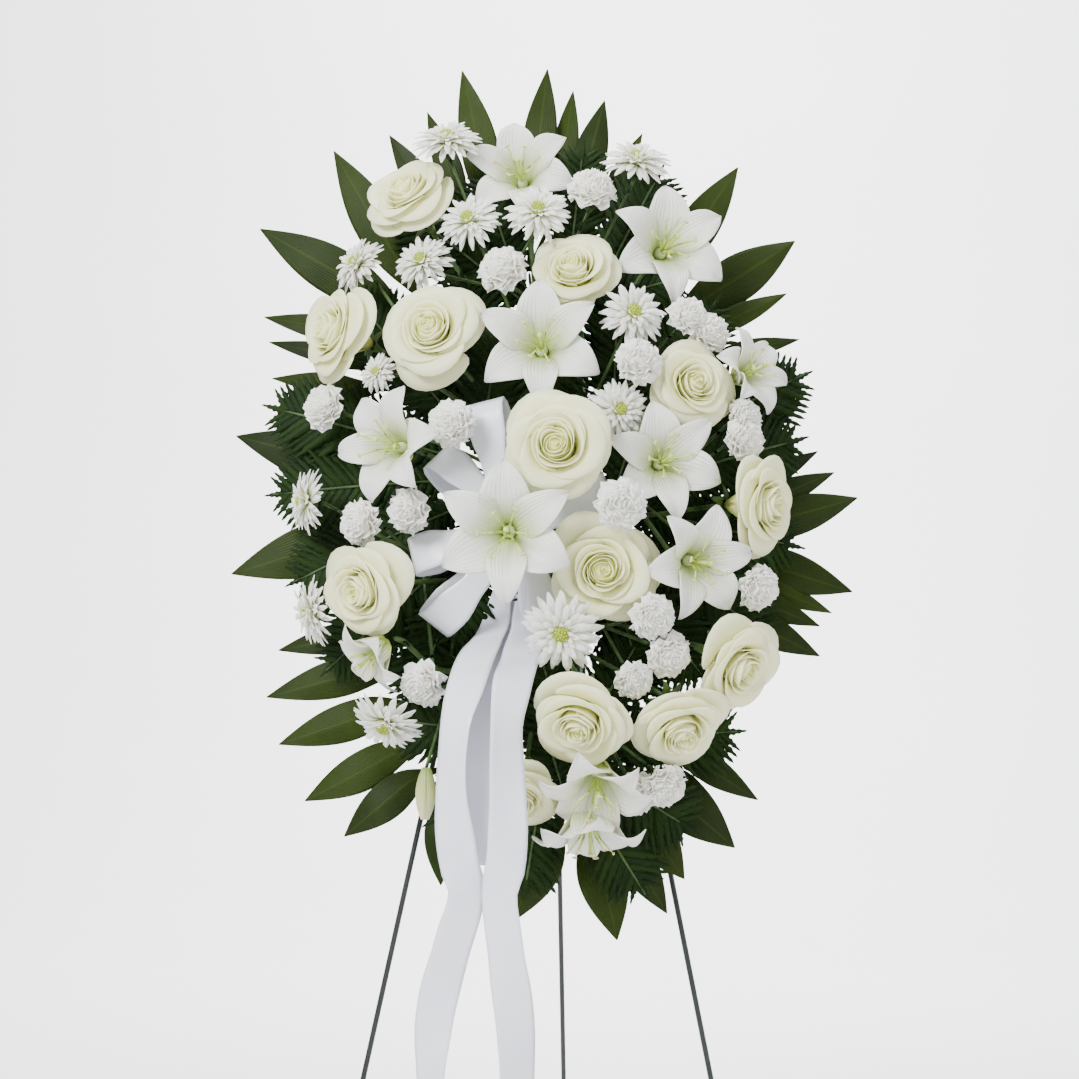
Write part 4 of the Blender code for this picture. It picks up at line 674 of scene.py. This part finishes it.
def loop_points(reach, steps=6):
    """A teardrop loop's centre line, from the knot out and back, beside the knot's own axis."""
    goal = cm(*reach[:3])
    away = goal - KNOT
    away -= away.project(bow_head.way)
    length = away.length
    away.normalize()
    points = []
    for i in range(steps + 1):
        t = i / steps
        swell = math.sin(math.pi * t)
        out = KNOT_R + (length - KNOT_R) * swell ** 0.75
        rise = -math.cos(math.pi * t) * (LOOP_GAP + LOOP_SWELL * swell ** 0.6)
        points.append(KNOT + away * out + bow_head.way * (rise + reach[3] / 100))
    open_by = [min(1, 1.5 * math.sin(math.pi * i / steps)) for i in range(steps + 1)]
    return points, away, [GATHERED_W + (RIBBON_W - GATHERED_W) * share for share in open_by]


def between(path, steps):
    """Places along a path, with the share of the way."""
    for i, (a, b) in enumerate(zip(path, path[1:])):
        for k in range(steps):
            yield a.lerp(b, k / steps), i + k / steps


# What stays where it is, as balls that the blooms and stems keep clear of: the pick, the ribbon and the
# gathered fern stalks
PICK_BALL, RIBBON_BALL, FERN_BALL = 0.0026, 0.009, 0.0045
PICK_TOP = KNOT - bow_head.way * 0.0150 + Vector((-0.008, 0, 0.009))
PICK_FOOT = cm(-1.9, 116.5, 5.4)
fixed = [[*PICK_TOP.lerp(PICK_FOOT, i / 9), PICK_BALL] for i in range(8)]
for reach in LOOPS:
    points, away, widths = loop_points(reach)
    across = away.cross(bow_head.way).normalized()
    for p, share in between(points, 4):
        w = widths[int(share)]
        for side in (-0.36 * w, 0, 0.36 * w):
            fixed.append([*(p + across * side), RIBBON_BALL])
for _, offset, rows in TAILS:
    path, sides, widths = tail_path(offset, rows)
    for p, share in between(path, 3):
        side, w = sides[int(share)], widths[int(share)]
        for k in (-0.4 * w, 0, 0.4 * w):
            fixed.append([*(p + side * k), RIBBON_BALL])
for _, foot, stub, _ in FERNS:
    for t in (0.5, 0.7, 0.9, 1.0, 1.15):
        fixed.append([*cm(*foot).lerp(cm(*stub), t), FERN_BALL])
fixed = np.array(fixed)

HEADS = [bloom for stem in flowers for bloom in stem.heads]
# Blooms move more towards and away from the viewer than across, until this clear of each other
MOBILE = np.array((0.45, 1.0, 0.45))
MARGIN = 0.0012
ROUNDS = 240
# In each round: the share of a push that is made, the longest step of a bloom and of a fork, and how
# far each is drawn back to where it began
PUSH, FIXED_PUSH = 0.30, 0.4
BLOOM_STEP, FORK_STEP = 0.004, 0.003
BLOOM_PULL, FORK_PULL = 0.004, 0.01
FORK_CLEAR = 0.012


def ball_table():
    """A row for each ball: its stem and bloom, how far it follows the bloom and the fork, offset, radius."""
    rows = []
    for s, stem in enumerate(flowers):
        thin = STEM_R[stem.kind] + 0.0012
        for bloom in stem.heads:
            h = HEADS.index(bloom)
            back = bloom.neck() - bloom.centre
            rows += [(s, h, 1, 0, *ball) for ball in bloom.balls]
            rows += [(s, h, 1 - i / 9, i / 9, *(back * (1 - i / 9)), thin) for i in range(10)]
        rows += [(s, 0, 0, 0.9 - 0.12 * i, 0, 0, 0, thin + 0.0006) for i in range(6)]
    return np.array(rows)


def overlaps(a, a_radii, b, b_radii):
    """The pairs of balls that come nearer than the margin, each with the push that parts them."""
    square = (a ** 2).sum(axis=1)[:, None] + (b ** 2).sum(axis=1)[None, :] - 2 * a @ b.T
    i, j = np.nonzero(square < (a_radii[:, None] + b_radii[None, :] + MARGIN) ** 2)
    apart = a[i] - b[j]
    distance = np.linalg.norm(apart, axis=1) + 1e-9
    short = a_radii[i] + b_radii[j] + MARGIN - distance
    return i, j, apart / distance[:, None] * np.maximum(short, 0)[:, None]


def capped(moves, most):
    """The moves, none of them longer than most."""
    length = np.linalg.norm(moves, axis=1) + 1e-12
    return moves * np.minimum(1, most / length)[:, None]


def spread_out():
    """Pushes touching blooms and stems apart in small steps until all are clear."""
    table = ball_table()
    owner, head = table[:, 0].astype(int), table[:, 1].astype(int)
    on_head, on_fork, offset, radii = table[:, 2:3], table[:, 3:4], table[:, 4:7], table[:, 7]
    centres = np.array([bloom.centre for bloom in HEADS])
    forks = np.array([stem.fork for stem in flowers])
    ends = np.array([stem.end for stem in flowers])
    start = centres.copy()
    free = np.array([[bloom.free] for bloom in HEADS])
    fixed_stem = flowers.index(bow_lily)
    for _ in range(ROUNDS):
        balls = on_head * centres[head] + on_fork * forks[owner]
        balls = balls + (1 - on_head - on_fork) * ends[owner] + offset
        push = np.zeros_like(balls)
        i, j, parting = overlaps(balls, radii, balls, radii)
        other = owner[i] != owner[j]
        np.add.at(push, i[other], parting[other] * PUSH)
        i, j, parting = overlaps(balls, radii, fixed[:, :3], fixed[:, 3])
        other = owner[i] != fixed_stem
        np.add.at(push, i[other], parting[other] * FIXED_PUSH)
        moved, pulled = np.zeros_like(centres), np.zeros_like(forks)
        np.add.at(moved, head, push * on_head)
        np.add.at(pulled, owner, push * on_fork)
        centres += capped(moved * MOBILE * free, BLOOM_STEP)
        centres += (start - centres) * BLOOM_PULL * free
        pulled = capped(pulled, FORK_STEP)
        for bloom, centre in zip(HEADS, centres):
            bloom.centre = Vector(centre)
        for s, stem in enumerate(flowers):
            if s == fixed_stem:
                continue
            fork = stem.fork + Vector(pulled[s])
            base = sum((h.neck() for h in stem.heads), Vector()) / len(stem.heads)
            home = cm(*FORKS[stem.name]) if stem.name in FORKS else stem.end.lerp(base, stem.share)
            fork += (home - fork) * FORK_PULL
            if outside(fork) < FORK_CLEAR:
                fork += (base - stem.end).normalized() * 0.002
            stem.fork = fork
            forks[s] = fork


spread_out()

# Roses
# Standard roses, two thirds open: a tight spiral heart, then wider and wider cupped petals whose rims
# roll outwards. Cream, with more yellow-green deep between the petals, partly their own colour and partly
# painted shade, on straight green stems.
PETAL_THICKNESS = 0.0006
# Each row's petals, rim radius, rim height, half angle in degrees and roll of the rim. Lengths are shares
# of the bloom's width.
ROSE_ROWS = [
    (2, 0.028, 0.335, 130, 0.000),
    (3, 0.060, 0.350, 118, 0.003),
    (3, 0.095, 0.360, 108, 0.005),
    (3, 0.135, 0.358, 104, 0.010),
    (4, 0.185, 0.345, 88, 0.018),
    (4, 0.250, 0.315, 84, 0.032),
    (4, 0.335, 0.285, 80, 0.050),
    (4, 0.415, 0.205, 74, 0.075),
    (3, 0.450, 0.085, 76, 0.090),
]


def petal_white(name, deep, pale, edge, rough, sheen=0.0, vein=0.0):
    """Petal colour: deep at the foot and in the heart, partly the flower's own green and partly painted shade
    deep between the petals, pale to the rim, and fine veins up its length.
    """
    material = finish(name, pale, rough, Subsurface_Weight=0.35, Subsurface_Scale=0.010,
                      Subsurface_Radius=(1, 0.9, 0.65), Sheen_Weight=sheen)
    up, out, tone, depth = tints(material)
    uneven = calc(material, "MULTIPLY_ADD", grain(material, 70, 3), 0.16, up)
    petal = ramp(material, uneven, (0.12, deep), (0.62, pale), (1.0, edge))
    # Inner rows are mixed towards a deeper heart colour: partly the bloom's own greener heart, partly painted
    # shade deep inside it.
    near = {"Value": depth, "From Min": 0.5, "From Max": 0.0, "To Max": 0.75}
    heart = [d * 0.35 + p * 0.65 for d, p in zip(deep, pale)]
    deepened = mix(material, node(material, "MapRange", near).outputs["Result"], petal, heart)
    shades = ramp(material, tone, (0.0, (0.90, 0.90, 0.84)), (1.0, (1, 1, 1)))
    feed(material, "Base Color", mix(material, 0.5, deepened, shades, "MULTIPLY"))
    if vein:
        ribbed(material, out, 34, vein, 0.0005)
    return material


def stalk(bm, stem, bloom, first, foot):
    """The stem from the foam or the fork up to the bloom's foot."""
    thin, thick = STEM_R[bloom.kind], MAIN_R[stem.kind]
    base = bloom.centre - bloom.way * foot * bloom.size
    if first:
        path = [stem.end, stem.fork, bloom.neck(), base]
        radii = [thick, thick, thick * 0.95, thin, thin, thin, thin, thin, thin * 1.1]
    else:
        path = [stem.fork, bloom.neck(), base]
        radii = [thin * 0.9] * 6 + [thin, thin, thin * 1.1]
    path = [p for i, p in enumerate(path) if i == 0 or (p - path[i - 1]).length > 0.002]
    tube(bm, along_path(path, len(radii)), radii, 6, 1)


def core(bm, frame_of, radius, middle, half, shade, number=0):
    """An egg-shaped solid on a bloom's middle line: its closed heart, its throat or a floret."""
    tint = bm.verts.layers.float_color["Tint"]
    place = frame_of @ Matrix.Translation((0, 0, middle)) @ Matrix.Diagonal((radius, radius, half, 1))
    made = bmesh.ops.create_icosphere(bm, subdivisions=2, radius=1, matrix=place)["verts"]
    for v in made:
        v[tint] = (shade, 0.5, 0.5, 0.0)
    give(made, number)


def around(bloom, radius, angle, height):
    """A place on a bloom: out from its middle line, round it and up it, in shares of its width."""
    r = radius * bloom.size
    return bloom.frame() @ Vector((r * math.cos(angle), r * math.sin(angle), height * bloom.size))


def grow(kind, shapes, materials, thickness=PETAL_THICKNESS, levels=0):
    """Makes a piece of every stem of a kind, each of its branches ending in the shape of its bloom."""
    for stem in [f for f in flowers if f.kind == kind]:
        bm = tinted()
        for k, bloom in enumerate(stem.heads):
            shapes[bloom.kind](bm, stem, bloom, k == 0)
        piece(stem.name.title(), bm, materials, stem.name, thickness, levels)


def rose(bm, stem, bloom, first):
    s = bloom.size
    stalk(bm, stem, bloom, first, 0.42)
    for i in range(5):
        a0 = 2 * math.pi * i / 5 + luck.uniform(-0.2, 0.2)

        def sepal(u, t):
            r = 0.07 + 0.16 * t + 0.02 * t * t
            z = -0.43 + 0.10 * t - 0.16 * t * t
            a = a0 + u * 0.5 * (1 - t) ** 0.7 * 0.07 / max(r, 0.05) * 2.2
            return around(bloom, r, a, z)

        sheet(bm, 2, 5, sepal, 0.5, 1)
    core(bm, bloom.frame(), 0.19 * s, 0.06 * s, 0.25 * s, 0.45)
    turn = luck.uniform(0, 6.28)
    for layer, (count, rim_r, rim_z, spread, roll) in enumerate(ROSE_ROWS):
        turn += 2.4
        open_by = min(1, max(0, (layer - 3) / 4))
        for i in range(count):
            a0 = turn + 2 * math.pi * i / count + luck.uniform(-0.14, 0.14)
            r1 = rim_r * luck.uniform(0.92, 1.07)
            z1 = rim_z + luck.uniform(-0.035, 0.030)
            half = math.radians(spread * luck.uniform(0.90, 1.10))
            curl = roll * luck.uniform(0.5, 1.6)
            point = luck.uniform(0.04, 0.13) * (layer > 5)
            wave = luck.uniform(0, 6.28)

            def petal(u, t):
                t = t * (1 - 0.15 * abs(u) ** 2.6)
                w = max(0.30, math.sin(math.pi * (0.10 + 0.60 * t)) ** 0.8)
                cup = math.sin(math.pi / 2 * min(1, t / 0.80)) ** 0.8
                rise = t ** 1.1 * (1 - open_by) + math.sin(math.pi / 2 * t) ** 0.85 * open_by
                r = 0.04 + (r1 - 0.04) * (cup * (1 - open_by) + t ** 0.85 * open_by)
                z = -0.41 + (z1 + 0.41) * rise
                turned = max(0, (t - 0.74) / 0.26)
                r += curl * turned ** 1.6 + curl * 0.5 * abs(u) ** 3 * t + point * turned * (1 - abs(u))
                z -= curl * 0.9 * turned ** 2 + 0.05 * open_by * abs(u) ** 3 * t * t
                r *= 1 + 0.15 * u * min(1, t * 2)
                r += 0.018 * math.cos(4.2 * u + wave) * t ** 3 * (layer > 1)
                z += 0.022 * math.sin(3.1 * u + wave) * t ** 3
                return around(bloom, r, a0 + u * half * w, z)

            sheet(bm, 6 if layer > 1 else 5, 6, petal, 0.25 + 0.75 * luck.random(), 0, layer / 8)


stem_green = mottle(finish("Stem_Green", (0.035, 0.085, 0.015), 0.55),
                    (0.02, 0.055, 0.008), (0.06, 0.12, 0.025), 45, bump=0.1, depth=0.0004)
rose_cream = petal_white("Rose_Cream", (0.72, 0.77, 0.17), (0.90, 0.91, 0.34), (0.94, 0.94, 0.54),
                         0.55, vein=0.1)
grow("rose", {"rose": rose}, [rose_cream, stem_green], levels=1)


# Lilies
# Open white lilies: three broad and three narrower waxy petals, bent back at the tip, with a green
# throat, a pale pistil and six stamens. One lily stands in the bow, and one stem still has a bud.
def lily(bm, stem, bloom, first):
    s, frame_of = bloom.size, bloom.frame()
    stalk(bm, stem, bloom, first, 0.40)
    for order in range(6):
        i = (order * 2) % 6 + (order >= 3)
        broad = i % 2
        a0 = math.pi / 6 + math.pi / 3 * i + luck.uniform(-0.05, 0.05)
        reach = luck.uniform(0.96, 1.0)
        wide = (0.36 if broad else 0.28) * luck.uniform(0.96, 1.04)
        tip_z = -0.02 - 0.03 * broad + luck.uniform(-0.015, 0.015)
        twist = luck.uniform(-0.30, 0.30)
        wave = luck.uniform(0, 6)

        def petal(u, t):
            b = 1 - t
            r = b ** 3 * 0.030 + 3 * b * b * t * 0.10 + 3 * b * t * t * 0.33 + t ** 3 * 0.50 * reach
            z = b ** 3 * -0.30 + 3 * b * b * t * -0.09 + 3 * b * t * t * (0.17 - 0.02 * broad)
            z += t ** 3 * tip_z
            w = wide * max(0.10 * b, math.sin(math.pi * min(1, 0.10 + 0.90 * t ** 0.88)) ** 0.72) / 2
            if t > 0.99:
                w = wide * 0.02
            x = u * w
            z += 0.40 * x * x / wide - 0.016 * math.exp(-(u / 0.15) ** 2) + 0.006 * math.cos(9 * u) * (1 - t)
            z += 0.019 * math.sin(11 * t + wave + 2.5 * u) * u * u + twist * x * t
            z -= 0.018 * broad
            p = Vector((r, x, z)) * s
            return frame_of @ (Matrix.Rotation(a0, 3, "Z") @ p)

        sheet(bm, 6, 9, petal, 0.4 + 0.6 * luck.random())
    core(bm, frame_of, 0.045 * s, -0.25 * s, 0.07 * s, 0.0)
    for i in range(6):
        a = math.pi / 3 * i + luck.uniform(-0.2, 0.2)
        out = luck.uniform(0.14, 0.20)
        points = [around(bloom, out * k * k, a, -0.26 + 0.38 * k) for k in (0, 0.35, 0.7, 1)]
        tube(bm, points, [0.0012, 0.0011, 0.0010, 0.0007], 5, 2)
        anther = (Matrix.Translation(points[-1]) @ bloom.turn.to_matrix().to_4x4()
                  @ Matrix.Rotation(a, 4, "Z") @ Matrix.Diagonal((0.65, 2.0, 0.65, 1)))
        give(bmesh.ops.create_icosphere(bm, subdivisions=1, radius=0.0022, matrix=anther)["verts"], 3)
    pistil = [Vector((0.01 * k, 0.012 * k * k, -0.28 + 0.42 * k)) * s for k in (0, 0.5, 0.93, 0.96, 1)]
    tube(bm, [frame_of @ p for p in pistil], [0.0018, 0.0015, 0.0016, 0.0032, 0.0028], 6, 2)


def bud(bm, stem, bloom, first):
    stalk(bm, stem, bloom, first, 1.2)
    for i in range(3):
        a0 = 2 * math.pi * i / 3

        def petal(u, t):
            r = 0.10 + 0.42 * math.sin(math.pi * (0.04 + 0.92 * t)) ** 0.75
            r *= 1 - 0.10 * u * u + 0.03
            return around(bloom, r, a0 + u * 1.12, -1.3 + 2.65 * t)

        sheet(bm, 5, 9, petal, 0.5, 4)


lily_white = petal_white("Lily_White", (0.46, 0.60, 0.10), (0.90, 0.89, 0.80), (0.93, 0.92, 0.87),
                         0.45, vein=0.6)
pistil_green = mottle(finish("Pistil_Green", (0.50, 0.62, 0.14), 0.45),
                      (0.42, 0.55, 0.08), (0.60, 0.68, 0.20), 90)
anther_gold = mottle(finish("Anther_Gold", (0.62, 0.52, 0.20), 0.8),
                     (0.50, 0.42, 0.14), (0.74, 0.64, 0.30), 400, bump=0.4, depth=0.0004)
bud_green = petal_white("Bud_Green", (0.28, 0.38, 0.08), (0.56, 0.60, 0.22), (0.66, 0.66, 0.34),
                        0.45, 0.1, 0.3)
grow("lily", {"lily": lily, "bud": bud}, [lily_white, stem_green, pistil_green, anther_gold, bud_green],
     0.0010, 1)

# Carnations
# Spray carnations: a round pack of thin ruffled petals with toothed rims above a green tube of sepals.
# They branch from a stem in twos to fours, white, with a greenish shade painted at the petals' feet, deep
# between the ruffles.

# Each row's petals, rim radius, rim height and half angle, as for the roses
CARNATION_ROWS = [
    (7, 0.49, -0.08, 40),
    (7, 0.46, 0.03, 42),
    (6, 0.40, 0.13, 48),
    (6, 0.32, 0.21, 52),
    (5, 0.23, 0.27, 60),
    (4, 0.14, 0.31, 75),
    (2, 0.06, 0.33, 120),
]


def carnation(bm, stem, bloom, first):
    s, frame_of = bloom.size, bloom.frame()
    stalk(bm, stem, bloom, first, 0.56)
    sepals = [frame_of @ Vector((0, 0, z * s)) for z in (-0.60, -0.52, -0.30, -0.10)]
    tube(bm, sepals, [0.06 * s, 0.11 * s, 0.13 * s, 0.12 * s], 8, 1)
    core(bm, frame_of, 0.30 * s, 0.02 * s, 0.26 * s, 0.7)
    turn = luck.uniform(0, 6)
    for count, rim_r, rim_z, spread in CARNATION_ROWS:
        turn += 0.9
        for i in range(count):
            a0 = turn + 2 * math.pi * i / count + luck.uniform(-0.2, 0.2)
            r1, z1 = rim_r * luck.uniform(0.93, 1.03), rim_z + luck.uniform(-0.03, 0.03)
            half = math.radians(spread)
            folds, phase = luck.choice((1.5, 2, 2.5)), luck.uniform(0, 6)

            def petal(u, t):
                tooth = 1 + 0.09 * ((round((u + 1) * 4) % 2) - 0.5) * (t > 0.9)
                r = 0.03 + (r1 * tooth - 0.03) * t ** 0.9
                ruffle = math.sin(folds * math.pi * u + phase) * 0.070 * t * t
                z = -0.16 + (z1 + 0.16) * t ** 1.2 + ruffle * (1 if rim_r > 0.2 else 0.4)
                r += 0.045 * math.cos(folds * math.pi * u + phase * 1.7) * t * t * (0.4 + r1)
                return around(bloom, r, a0 + u * half * (0.35 + 0.65 * t), z)

            sheet(bm, 8, 3, petal, luck.random())


# The deep colour at the petals' feet is painted shade between the ruffles.
carnation_white = petal_white("Carnation_White", (0.72, 0.75, 0.44), (0.92, 0.91, 0.80),
                              (0.96, 0.95, 0.90), 0.62)
grow("carnation", {"carnation": carnation}, [carnation_white, stem_green])

# Chrysanthemums
# Spray chrysanthemums: many narrow spoon-shaped petals in rows round a small green-yellow eye of unopened
# florets. The lowest petals lie flat or droop and the inner ones stand up.

# Each row's petals, rim radius, rim height and petal width, as shares of the bloom's width
MUM_ROWS = [
    (17, 0.50, -0.09, 0.085),
    (17, 0.49, -0.01, 0.085),
    (15, 0.45, 0.07, 0.080),
    (14, 0.37, 0.14, 0.072),
    (12, 0.27, 0.18, 0.062),
    (10, 0.17, 0.19, 0.046),
]
FLORETS = 22
GOLDEN_ANGLE = 2.39996


def chrysanthemum(bm, stem, bloom, first):
    s, frame_of = bloom.size, bloom.frame()
    stalk(bm, stem, bloom, first, 0.22)
    sepals = [frame_of @ Vector((0, 0, z * s)) for z in (-0.22, -0.13, -0.05)]
    tube(bm, sepals, [0.05 * s, 0.12 * s, 0.15 * s], 8, 1)
    turn = luck.uniform(0, 6)
    for count, rim_r, rim_z, wide in MUM_ROWS:
        turn += 0.5
        for i in range(count):
            a0 = turn + 2 * math.pi * i / count + luck.uniform(-0.10, 0.10)
            r1 = rim_r * luck.uniform(0.80, 1.0)
            z1 = rim_z + luck.uniform(-0.06, 0.04)
            w1 = wide * luck.uniform(0.9, 1.1)
            cup = luck.uniform(0.2, 0.6)

            def petal(u, t):
                r = 0.05 + (r1 - 0.05) * t
                z = -0.03 + (z1 + 0.03) * t ** 0.8 + 0.035 * math.sin(math.pi * t)
                w = w1 * (0.40 + 0.60 * math.sin(math.pi * min(1, 0.12 + 0.66 * t))) / 2
                w *= 1 if t < 0.9 else 0.30
                p = Vector((r, u * w, z + cup * w * u * u)) * s
                return frame_of @ (Matrix.Rotation(a0, 3, "Z") @ p)

            sheet(bm, 2, 5, petal, 0.3 + 0.7 * luck.random())
    core(bm, frame_of, 0.095 * s, 0.08 * s, 0.07 * s, 0.5, 2)
    for i in range(FLORETS):
        r, a = 0.090 * math.sqrt((i + 0.5) / FLORETS) * s, GOLDEN_ANGLE * i
        at = Matrix.Translation((r * math.cos(a), r * math.sin(a), 0.15 * s - r * r / s * 4.5))
        core(bm, frame_of @ at, 0.014 * s, 0, 0.028 * s, 0.5, 2)


mum_white = petal_white("Chrysanthemum_White", (0.64, 0.74, 0.22), (0.92, 0.92, 0.82),
                        (0.95, 0.94, 0.89), 0.6, vein=0.2)
eye_green = mottle(finish("Eye_Green", (0.36, 0.46, 0.04), 0.7),
                   (0.24, 0.36, 0.02), (0.52, 0.56, 0.07), 300, bump=0.5, depth=0.0008)
grow("mum", {"mum": chrysanthemum}, [mum_white, stem_green, eye_green])

# Ribbon bow
# White satin ribbon, 44 mm wide, in six loops gathered and wired at a knot that hides behind the lily,
# with three long tails. The satin shows soft bands of light and a fine cross rib.
RIBBON_THICKNESS = 0.0005
LOOP_STATIONS, TAIL_STATIONS = 29, 57
# How far each loop is turned on its own length, in degrees, so that its inside shows
LOOP_TILT = (-16, 30, 18, 14, -18, -20)


def satin(name, colour):
    """Satin with soft bands of painted sheen, a hem along each edge and a fine weave."""
    material = finish(name, colour, 0.27, Sheen_Weight=0.25, Sheen_Roughness=0.35, Anisotropic=0.5)
    # Noise bands of lighter and darker satin are a painted sheen, standing in for light on the folds.
    sheen_band_shade = (colour[0] * 0.93, colour[1] * 0.94, colour[2] * 0.97)
    painted_sheen_bands = ramp(material, grain(material, 22, 2), (0.3, sheen_band_shade), (0.7, colour))
    _, out, _, _ = tints(material)
    hem = ramp(material, out, (0.90, (1, 1, 1)), (0.96, (0.90, 0.90, 0.92)))
    feed(material, "Base Color", mix(material, 1.0, painted_sheen_bands, hem, "MULTIPLY"))
    place = node(material, "TexCoord").outputs["Object"]
    weave = node(material, "TexWave", {"Vector": place, "Scale": 420, "Distortion": 1.5}, bands_direction="Z")
    raised(material, weave.outputs["Fac"], 0.05, 0.0002)
    return material


def strip(bm, path, sides, widths, count, ripple=0.0, seed=0.0):
    """A ribbon along a smooth curve through the path, its width turning from side to side."""
    line = along_path(path, count)
    n = len(path) - 1

    def read(values, t):
        """A value at t, eased from one of the path's points to the next."""
        i = min(int(t * n), n - 1)
        k = t * n - i
        k = k * k * (3 - 2 * k)
        return values[i] * (1 - k) + values[i + 1] * k

    shares = [0]
    for a, b in zip(path, path[1:]):
        shares.append(shares[-1] + (b - a).length)
    shares = [x / shares[-1] for x in shares]

    def station(t):
        """How far along the path's points a share of its length is."""
        i = max(k for k in range(n) if shares[k] <= t + 1e-9)
        return (i + (t - shares[i]) / (shares[i + 1] - shares[i])) / n

    def place(u, t):
        i = min(int(t * (count - 1)), count - 2)
        p = line[i].lerp(line[i + 1], t * (count - 1) - i)
        way = (line[i + 1] - line[i]).normalized()
        turn = station(t)
        side = read(sides, turn)
        side = (side - side.project(way)).normalized()
        face = side.cross(way)
        w = read(widths, turn) / 2
        wave = ripple * math.sin(7 * t * n / 3 + seed + u * 1.2) * (0.4 + 0.6 * u * u)
        return p + side * (u * w) + face * wave

    sheet(bm, 8, count - 1, place, 0.7)
    return sum((b - a).length for a, b in zip(line, line[1:]))


ribbon_white = satin("Ribbon_Satin", (0.86, 0.87, 0.95))
axis = bow_head.way
bm = tinted()
total = 0
for k, reach in enumerate(LOOPS):
    points, away, widths = loop_points(reach, 8)
    tip = Matrix.Rotation(math.radians(LOOP_TILT[k]), 3, away)
    points = [KNOT + tip @ (p - KNOT) for p in points]
    across = (tip @ away.cross(axis)).normalized()
    total += strip(bm, points, [across] * len(points), widths, LOOP_STATIONS, 0.0010, k * 1.7)
bow = piece("Ribbon_Bow", bm, [ribbon_white], "ribbon_bow", RIBBON_THICKNESS)
bm = tinted()
tube(bm, [KNOT + axis * z for z in (-0.013, -0.011, 0.011, 0.013)], [0.010, 0.013, 0.013, 0.010], 20)
piece("Bow_Knot", bm, [ribbon_white])
for name, offset, rows in TAILS:
    path, sides, widths = tail_path(offset, rows)
    bm = tinted()
    length = strip(bm, path, sides, widths, TAIL_STATIONS, 0.0026, offset * 300)
    tail = piece(name.title(), bm, [ribbon_white], name, RIBBON_THICKNESS)

# Room
# A plain pale floor that curves up into the wall behind, soft light from large panels, and the camera
# level with the middle of the spray, a little to the right of it, as in the photograph.
FLOOR_HALF, SWEEP_START, SWEEP_RADIUS, SWEEP_STEPS, WALL_TOP = 9.0, 4.0, 3.0, 16, 8.0
# Each lamp's place, what it points at, its width and its power in watts
LAMPS = {
    "Key": ((-1.6, -2.6, 2.9), (0, -0.2, 1.1), 1.4, 180),
    "Fill": ((2.4, -2.4, 1.6), (0, -0.2, 1.0), 2.0, 40),
    "Top": ((0.2, 0.3, 3.4), (0, 0, 1.0), 2.0, 66),
    "Wall": ((0, 3.0, 4.2), (0, 6.6, 1.4), 3.5, 800),
}
LENS, SWING, DISTANCE = 92.85, math.radians(4), 3.2
bm = bmesh.new()
bmesh.ops.create_grid(bm, x_segments=1, y_segments=1, size=FLOOR_HALF)
edge = [e for e in bm.edges if all(v.co.y > FLOOR_HALF - 0.1 for v in e.verts)]
for v in {v for e in edge for v in e.verts}:
    v.co.y = SWEEP_START
for i in range(1, SWEEP_STEPS + 1):
    a = math.pi / 2 * i / SWEEP_STEPS
    made = bmesh.ops.extrude_edge_only(bm, edges=edge)["geom"]
    edge = [g for g in made if isinstance(g, bmesh.types.BMEdge) and all(v in made for v in g.verts)]
    edge = [e for e in edge if abs(e.verts[0].co.x - e.verts[1].co.x) > 1]
    for v in {v for e in edge for v in e.verts}:
        v.co.y = SWEEP_START + SWEEP_RADIUS * math.sin(a)
        v.co.z = SWEEP_RADIUS - SWEEP_RADIUS * math.cos(a)
made = bmesh.ops.extrude_edge_only(bm, edges=edge)["geom"]
for v in [g for g in made if isinstance(g, bmesh.types.BMVert)]:
    v.co.z = WALL_TOP
bmesh.ops.recalc_face_normals(bm, faces=bm.faces)
for face in bm.faces:
    face.smooth = True
floor_mesh = bpy.data.meshes.new("Room_Floor")
bm.to_mesh(floor_mesh)
bm.free()
floor = bpy.data.objects.new("Room_Floor", floor_mesh)
bpy.context.scene.collection.objects.link(floor)
pale = mottle(finish("Room_Pale", (0.90, 0.90, 0.91), 0.8), (0.89, 0.89, 0.90), (0.91, 0.91, 0.92), 1.5)
floor_mesh.materials.append(pale)

world = bpy.data.worlds.new("Room_Light")
bpy.context.scene.world = world
world.use_nodes = True
world.node_tree.nodes["Background"].inputs["Color"].default_value = (1, 1, 1, 1)
world.node_tree.nodes["Background"].inputs["Strength"].default_value = 0.80
for name, (place, aim, size, power) in LAMPS.items():
    lamp = bpy.data.lights.new(name, "AREA")
    lamp.shape = "DISK"
    lamp.size = size
    lamp.energy = power
    light = bpy.data.objects.new(name, lamp)
    light.location = place
    light.rotation_euler = (Vector(aim) - Vector(place)).to_track_quat("-Z", "Y").to_euler()
    bpy.context.scene.collection.objects.link(light)

camera = bpy.data.objects.new("Camera", bpy.data.cameras.new("Camera"))
bpy.context.scene.collection.objects.link(camera)
camera.data.sensor_width = 36
camera.data.lens = LENS
target = Vector((0.004, -0.25, 1.126)) + SHIFT
camera.location = target + Vector((math.sin(SWING), -math.cos(SWING), 0)) * DISTANCE
camera.rotation_euler = (math.radians(90), 0, SWING)
bpy.context.scene.camera = camera
